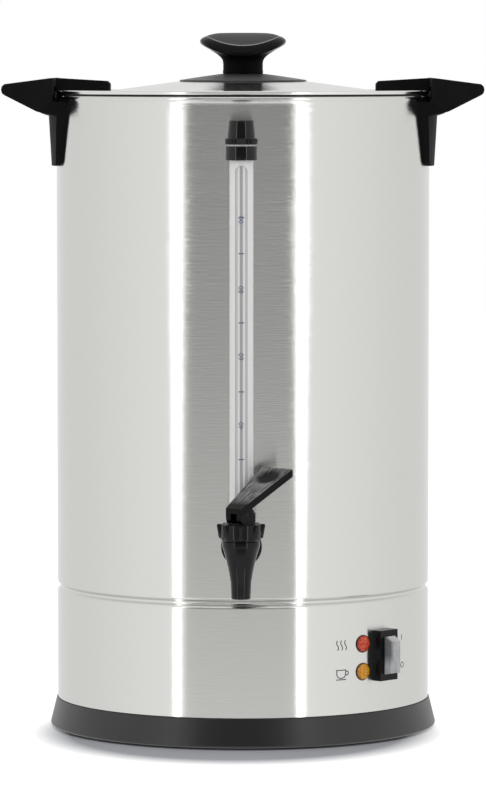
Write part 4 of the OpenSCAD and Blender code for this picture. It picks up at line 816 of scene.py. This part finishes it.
def gauge_arm():
    """The bracket: its sleeve turned round the tube, an arm of rounded section to the wall, and
    the foot turned round the arm's own axis."""
    middle = SLEEVE_Z + 4.95
    sleeve = rounded([(8.9, 0, 0.2), (11.3, 0, 0.35), (11.3, 9.9, 0.35), (8.9, 9.9, 0.2)],
                     4, True) + [0, SLEEVE_Z]
    foot_disc = rounded([(0, -3.0), (9, -3.0, 0), (9, 1.4, 0.5), (0, 1.4)], 5)
    bar = rounded([(-6.85, -4, 1.5), (6.85, -4, 1.5), (6.85, 4, 1.5), (-6.85, 4, 1.5)], 5, True)
    reach = np.array([[-4.0], [4.08]])
    arm = np.stack([bar[:, 0] + 0 * reach, bar[:, 1] + 0 * reach, reach + 0 * bar[:, 0]], -1)
    stud = rounded([(0, -10.8), (3, -10.8, 0.4), (3, 0, 0), (0, 0)], 4)
    obj = meshed("gauge_bracket_arm", [
        (turned(sleeve, 128, GAUGE_Y), True),
        (on_wall(turned(foot_disc, 64), 0, middle), False),
        (on_wall(arm, 0, middle), False),
        (on_wall(turned(stud, 48), 0, middle), False)], GAUGE)
    put(obj, "urn", ["gauge_bracket"])


def round_tube(points):
    """Flat marks (along x, up z) laid round the front of the gauge tube, a hair off it: x becomes
    the angle x / r."""
    r = TUBE_R + points[..., 2]
    a = points[..., 0] / TUBE_R
    return np.stack([r * np.sin(a), GAUGE_Y - r * np.cos(a), points[..., 1]], -1)


def slab(x0, x1, z0, z1):
    """A thin printed bar between two corners: a closed strip, 0.01 to 0.06 mm off the tube."""
    x = np.linspace(x0, x1, 5)[:, None]
    low, high = 0.01, 0.06
    loop = np.array([[z0, low], [z1, low], [z1, high], [z0, high]])
    return capped(np.stack([x + 0 * loop[:, 0], loop[:, 0] + 0 * x, loop[:, 1] + 0 * x], -1))


def gauge_scale():
    """The printed scale: five short bars across the tube."""
    half_long, half_thick = 2.0, 0.4
    bars = [(round_tube(slab(-half_long, half_long, z - half_thick, z + half_thick)), False)
            for z in (382.0, 356.3, 307.3, 258.4, 210.3)]
    put(meshed("gauge_bars", bars, GAUGE_INK), "urn")


def gauge_number(count, height):
    """A number of the scale as a thin solid: the figures' outline, filled and given a thickness,
    then turned to read upwards and laid round the tube."""
    name = f"gauge_number_{count}"
    curve = bpy.data.curves.new(name, "FONT")
    curve.body, curve.size, curve.extrude = str(count), 5.4, 0.025
    curve.align_x, curve.align_y = "CENTER", "CENTER"
    curve.resolution_u = 3
    source = bpy.data.objects.new(name, curve)
    bpy.context.scene.collection.objects.link(source)
    bpy.context.view_layer.update()
    solved = source.evaluated_get(bpy.context.evaluated_depsgraph_get())
    mesh = bpy.data.meshes.new_from_object(solved)
    bpy.data.objects.remove(source)
    flat = np.empty(3 * len(mesh.vertices), np.float32)
    mesh.vertices.foreach_get("co", flat)
    x, y, z = flat.reshape(-1, 3).astype(float).T
    points = round_tube(np.stack([-y, x + height, z + 0.035], -1)) * MM
    mesh.vertices.foreach_set("co", points.ravel())
    put(finished(name, mesh, GAUGE_INK, 30), "urn")


for build in (gauge_tube, gauge_cap, gauge_washer, gauge_arm, gauge_scale):
    build()
for count, height in ((100, 378.8), (80, 330.8), (60, 283.3), (40, 234.3)):
    gauge_number(count, height)


# ------------------------------------------------------------------ tap
def tap_body():
    """The tap in turned parts: spout, collar and neck round the upright axis, shank and flange
    round the axis to the wall, and the gauge socket."""
    collar_r, neck_r = 13.3, 11.95
    cone = smooth_run([(7.0, -26.9), (7.3, -21.2), (8.5, -13.4), (9.95, -6.9), (11.6, -0.4),
                       (13.1, 4.2)], 4)
    spout = np.vstack([
        rounded([(4.0, -3.3), (4.0, -32.5, 0.3), (6.7, -32.5, 0.7), (6.85, -30.0)], 5), cone,
        rounded([(13.2, 4.5), (collar_r, 5.0, 0.2), (collar_r, 8.4, 0.35), (neck_r, 8.4, 0.3),
                 (neck_r, 14.2, 0.3), (9.0, 14.2, 0.2), (9.0, -3.3, 0)], 5)]) + [0, TAP_Z]
    shank = rounded([(0, -4.0), (3.2, -4.0, 0), (3.2, -15.5, 0.3), (8.5, -15.5, 0.6),
                     (8.5, 44.0, 0), (0, 44.0)], 4)
    flange = rounded([(8.4, 2.5, 0), (14.6, 2.5, 0.3), (14.6, 5.5, 0.8), (8.4, 5.5, 0)], 5, True)
    socket = rounded([(0, 0), (10.4, 0, 0), (10.4, 25.2, 0.6), (8.85, 25.2, 0.3), (8.85, 9.4, 0),
                      (0, 9.4)], 5) + [0, TAP_Z]

    def bar(profile):
        return on_wall(turned(profile, 96), 0, TAP_Z)

    obj = meshed("tap_body_moulding", [
        (turned(spout, 128, TAP_Y), True), (bar(shank), False), (bar(flange), True),
        (turned(socket, 96, GAUGE_Y), False)], TAP)
    put(obj, "urn", ["tap_body"])


def tap_bonnet():
    """The bonnet turned round with eight wings: the radius grows by up to 2.5 mm where cos 8 t is
    near 1, more at the top than at the foot."""
    low, high, root_r = BONNET_Z + 0.9, BONNET_TOP - 1.1, 12.5

    def wings(t, r, z):
        ridge = np.clip((np.cos(8 * t) - 0.62) / 0.30, 0, 1)
        ridge = ridge * ridge * (3 - 2 * ridge)
        start = np.clip((z - low + 0.1) / 0.6, 0, 1)
        rise_up = start * (0.45 + 0.55 * np.clip((z - low) / 8.5, 0, 1))
        return np.where(r > root_r, 2.5 * ridge * rise_up * np.clip((r - root_r) / 1.8, 0, 1), 0)

    z = np.linspace(low, high, 12)
    profile = np.vstack([
        rounded([(2.6, 0.2, 0), (8.8, 0.2, 0.2), (8.8, 4.8, 0), (12.05, 4.8, 0), (12.05, 0, 0.1),
                 (14.1, 0, 0.3), (14.4, 0.5, 0)], 4) + [0, BONNET_Z],
        np.stack([14.4 + 0.01 * (z - low), z], 1),
        rounded([(14.5, BONNET_TOP - 0.8, 0), (14.4, BONNET_TOP - 0.2, 0.4),
                 (13.6, BONNET_TOP, 0.5), (11.5, BONNET_TOP, 0.1), (2.6, BONNET_TOP, 0)], 4)])
    obj = meshed("tap_bonnet_moulding", [(turned(profile, 512, TAP_Y, wings), True)], TAP, 40)
    put(obj, "urn", ["tap_bonnet"])


tap_body()
tap_bonnet()
put(eased("tap_lever", "tap_handle", LEVER, 0.45), "tap_lever", ["tap_handle"])


# ------------------------------------------------------------------ switch, lamps and their marks
def lamp(which, material, slot):
    """A lamp on the wall: a bezel ring and a lens, whose low dome falls with r^2, each turned
    round the lamp's own axis."""
    height = LAMP_ZS[which]
    bezel = rounded([(4.55, -6, 0), (5.0, -6, 0), (5.0, -2.5, 0), (6.5, -2.5, 0), (6.5, 0.05, 0),
                     (6.15, 0.45, 0.2), (4.55, 0.45, 0)], 5, True)
    dome_r, dome_foot, dome_rise = 5.6, 1.0, 0.9
    r = np.linspace(dome_r, 0, 14)
    dome = np.stack([r, dome_foot + dome_rise * (1 - (r / dome_r) ** 2)], 1)
    lens = np.vstack([rounded([(0, -6), (4.5, -6, 0), (4.5, 0.45, 0), (6.2, 0.45, 0.1),
                               (6.1, 0.8, 0.3), (5.65, 0.99)], 4), dome])
    put(meshed(f"{which}_lamp_ring", [(on_wall(turned(bezel, 96), LAMP_A, height), True)], SWITCH),
        "urn", [f"{which}_lamp_bezel"])
    put(meshed(f"{which}_lamp_dome", [(on_wall(turned(lens, 96), LAMP_A, height), False)],
               material), "urn", [f"{which}_lamp_lens"])


lamp("heating", RED, "red_lens")
lamp("warm", AMBER, "amber_lens")
put(eased("switch_frame", "switch_housing", SWITCH, 0.5), "urn",
    ["switch_housing"])
put(eased("switch_key", "switch_rocker", ROCKER, 0.4), "rocker",
    ["switch_rocker"])
put(eased("switch_splash_boot", "switch_boot", BOOT, 0.25), "urn",
    ["switch_boot"])


def wall_mark(strokes, right, up, wide=0.75):
    """Printed strokes on the wall: each centre line p(s) gets its width along p' turned a quarter,
    and lies on the cylinder x -> (R sin(x / R), z), from 0.02 to 0.07 mm off the steel."""
    grids = []
    for stroke in strokes:
        p = np.asarray(stroke, float) + [right, up]
        along = np.gradient(p, axis=0)
        along /= np.linalg.norm(along, axis=1, keepdims=True)
        across = np.stack([-along[:, 1], along[:, 0]], 1) * wide / 2
        low, high = (np.full(len(p), off) for off in (0.02, 0.07))
        loop = capped(np.stack([np.c_[p + across, low], np.c_[p + across, high],
                                np.c_[p - across, high], np.c_[p - across, low]], 1))
        turn = loop[..., 0] / BODY_R
        r = BODY_R + loop[..., 2]
        grids.append((np.stack([r * np.sin(turn), -r * np.cos(turn), loop[..., 1]], -1), False))
    return grids


def at_angle(degrees):
    """How far round the wall an angle from the tap is, in mm."""
    return math.radians(degrees) * BODY_R


wave_z = np.linspace(-3.6, 3.6, 17)
wave_x = 0.8 * np.sin(np.linspace(0, 2 * np.pi, 17))
waves = [np.stack([x0 + wave_x, wave_z], 1) for x0 in (-3.4, 0.0, 3.4)]
cup = [
    [(-4.2, 2.2), (-3.9, -1.2), (-3.0, -2.9), (-1.2, -3.5), (0.6, -3.5), (2.4, -2.9),
     (3.3, -1.2), (3.6, 2.2)],
    [(-4.6, 2.3), (4.0, 2.3)],
    smooth_run([(3.5, 1.2), (5.2, 1.3), (5.8, 0.2), (5.0, -1.2), (3.2, -1.4)], 5),
    [(-4.4, -4.6), (3.8, -4.6)]]
on_line, off_ring = [(0, -1.9), (0, 1.9)], arc(0, 0, 1.9, 0, 360, 25)
marks = {
    "heating_mark": wall_mark(waves, at_angle(LAMP_MARK_A), LAMP_ZS["heating"]),
    "warm_mark": wall_mark(cup, at_angle(LAMP_MARK_A), LAMP_ZS["warm"]),
    "switch_marks": wall_mark([on_line], at_angle(57.5), SWITCH_Z + 10.3, 0.7)
    + wall_mark([off_ring], at_angle(57.9), SWITCH_Z - 9.9, 0.6)}
for name, strokes in marks.items():
    put(meshed(name, strokes, PANEL_INK), "urn")

# ------------------------------------------------------------------ the rest of the solids
REST = {
    # node: (finish, record's slot, edge rounding in mm)
    "tank_floor": (TANK, "tank_steel", 0), "bottom_cover": (BASE, "base_plastic", 0),
    "tie_studs": (PLATED, "hardware_steel", 0), "stud_nuts": (PLATED, "hardware_steel", 0.2),
    "heat_plate": (ALUMINIUM, "heat_aluminium", 0), "heating_element": (SHEATH, "element_sheath", 0),
    "boil_thermostat": (CERAMIC, "control_ceramic", 0),
    "keep_warm_thermostat": (CERAMIC, "control_ceramic", 0),
    "thermal_fuse": (BRASS, "brass_parts", 0), "terminal_block": (TERMINAL, "terminal_plastic", 0.3),
    "wiring": (WIRE, "wire_cover", 0), "power_inlet": (INLET, "inlet_plastic", 0.5),
    "inlet_pins": (BRASS, "brass_parts", 0.2), "inlet_screws": (PLATED, "hardware_steel", 0.15),
    "handle_screws": (PLATED, "hardware_steel", 0.2), "handle_nuts": (PLATED, "hardware_steel", 0.2),
    "tap_gasket": (SEAL, "seal_rubber", 0), "tap_inner_gasket": (SILICONE, "seal_silicone", 0),
    "tap_nut": (TAP, "tap_plastic", 0.3), "tap_washer": (SEAL, "seal_rubber", 0),
    "tap_stem": (TAP, "tap_plastic", 0), "tap_seat_cup": (SILICONE, "seal_silicone", 0),
    "tap_pin": (TAP, "tap_plastic", 0.1), "gauge_lower_seal": (SILICONE, "seal_silicone", 0),
    "gauge_upper_seal": (SILICONE, "seal_silicone", 0),
    "gauge_stud_nut": (PLATED, "hardware_steel", 0.2), "perc_stem": (TANK, "tank_steel", 0),
    "pump_base": (TANK, "tank_steel", 0), "coffee_basket": (TANK, "tank_steel", 0),
    "basket_cover": (TANK, "tank_steel", 0), "knob_screw": (PLATED, "hardware_steel", 0.2),
    "lug_rivets": (PLATED, "hardware_steel", 0),
}
body_of_node = {n: b for b, names in frame["record"]["behaviour"]["bodies"].items() for n in names}
for node, (material, slot_name, width) in REST.items():
    put(eased(f"{node}_part", node, material, width), body_of_node[node], [node])

bpy.context.scene.view_settings.view_transform = "Standard"
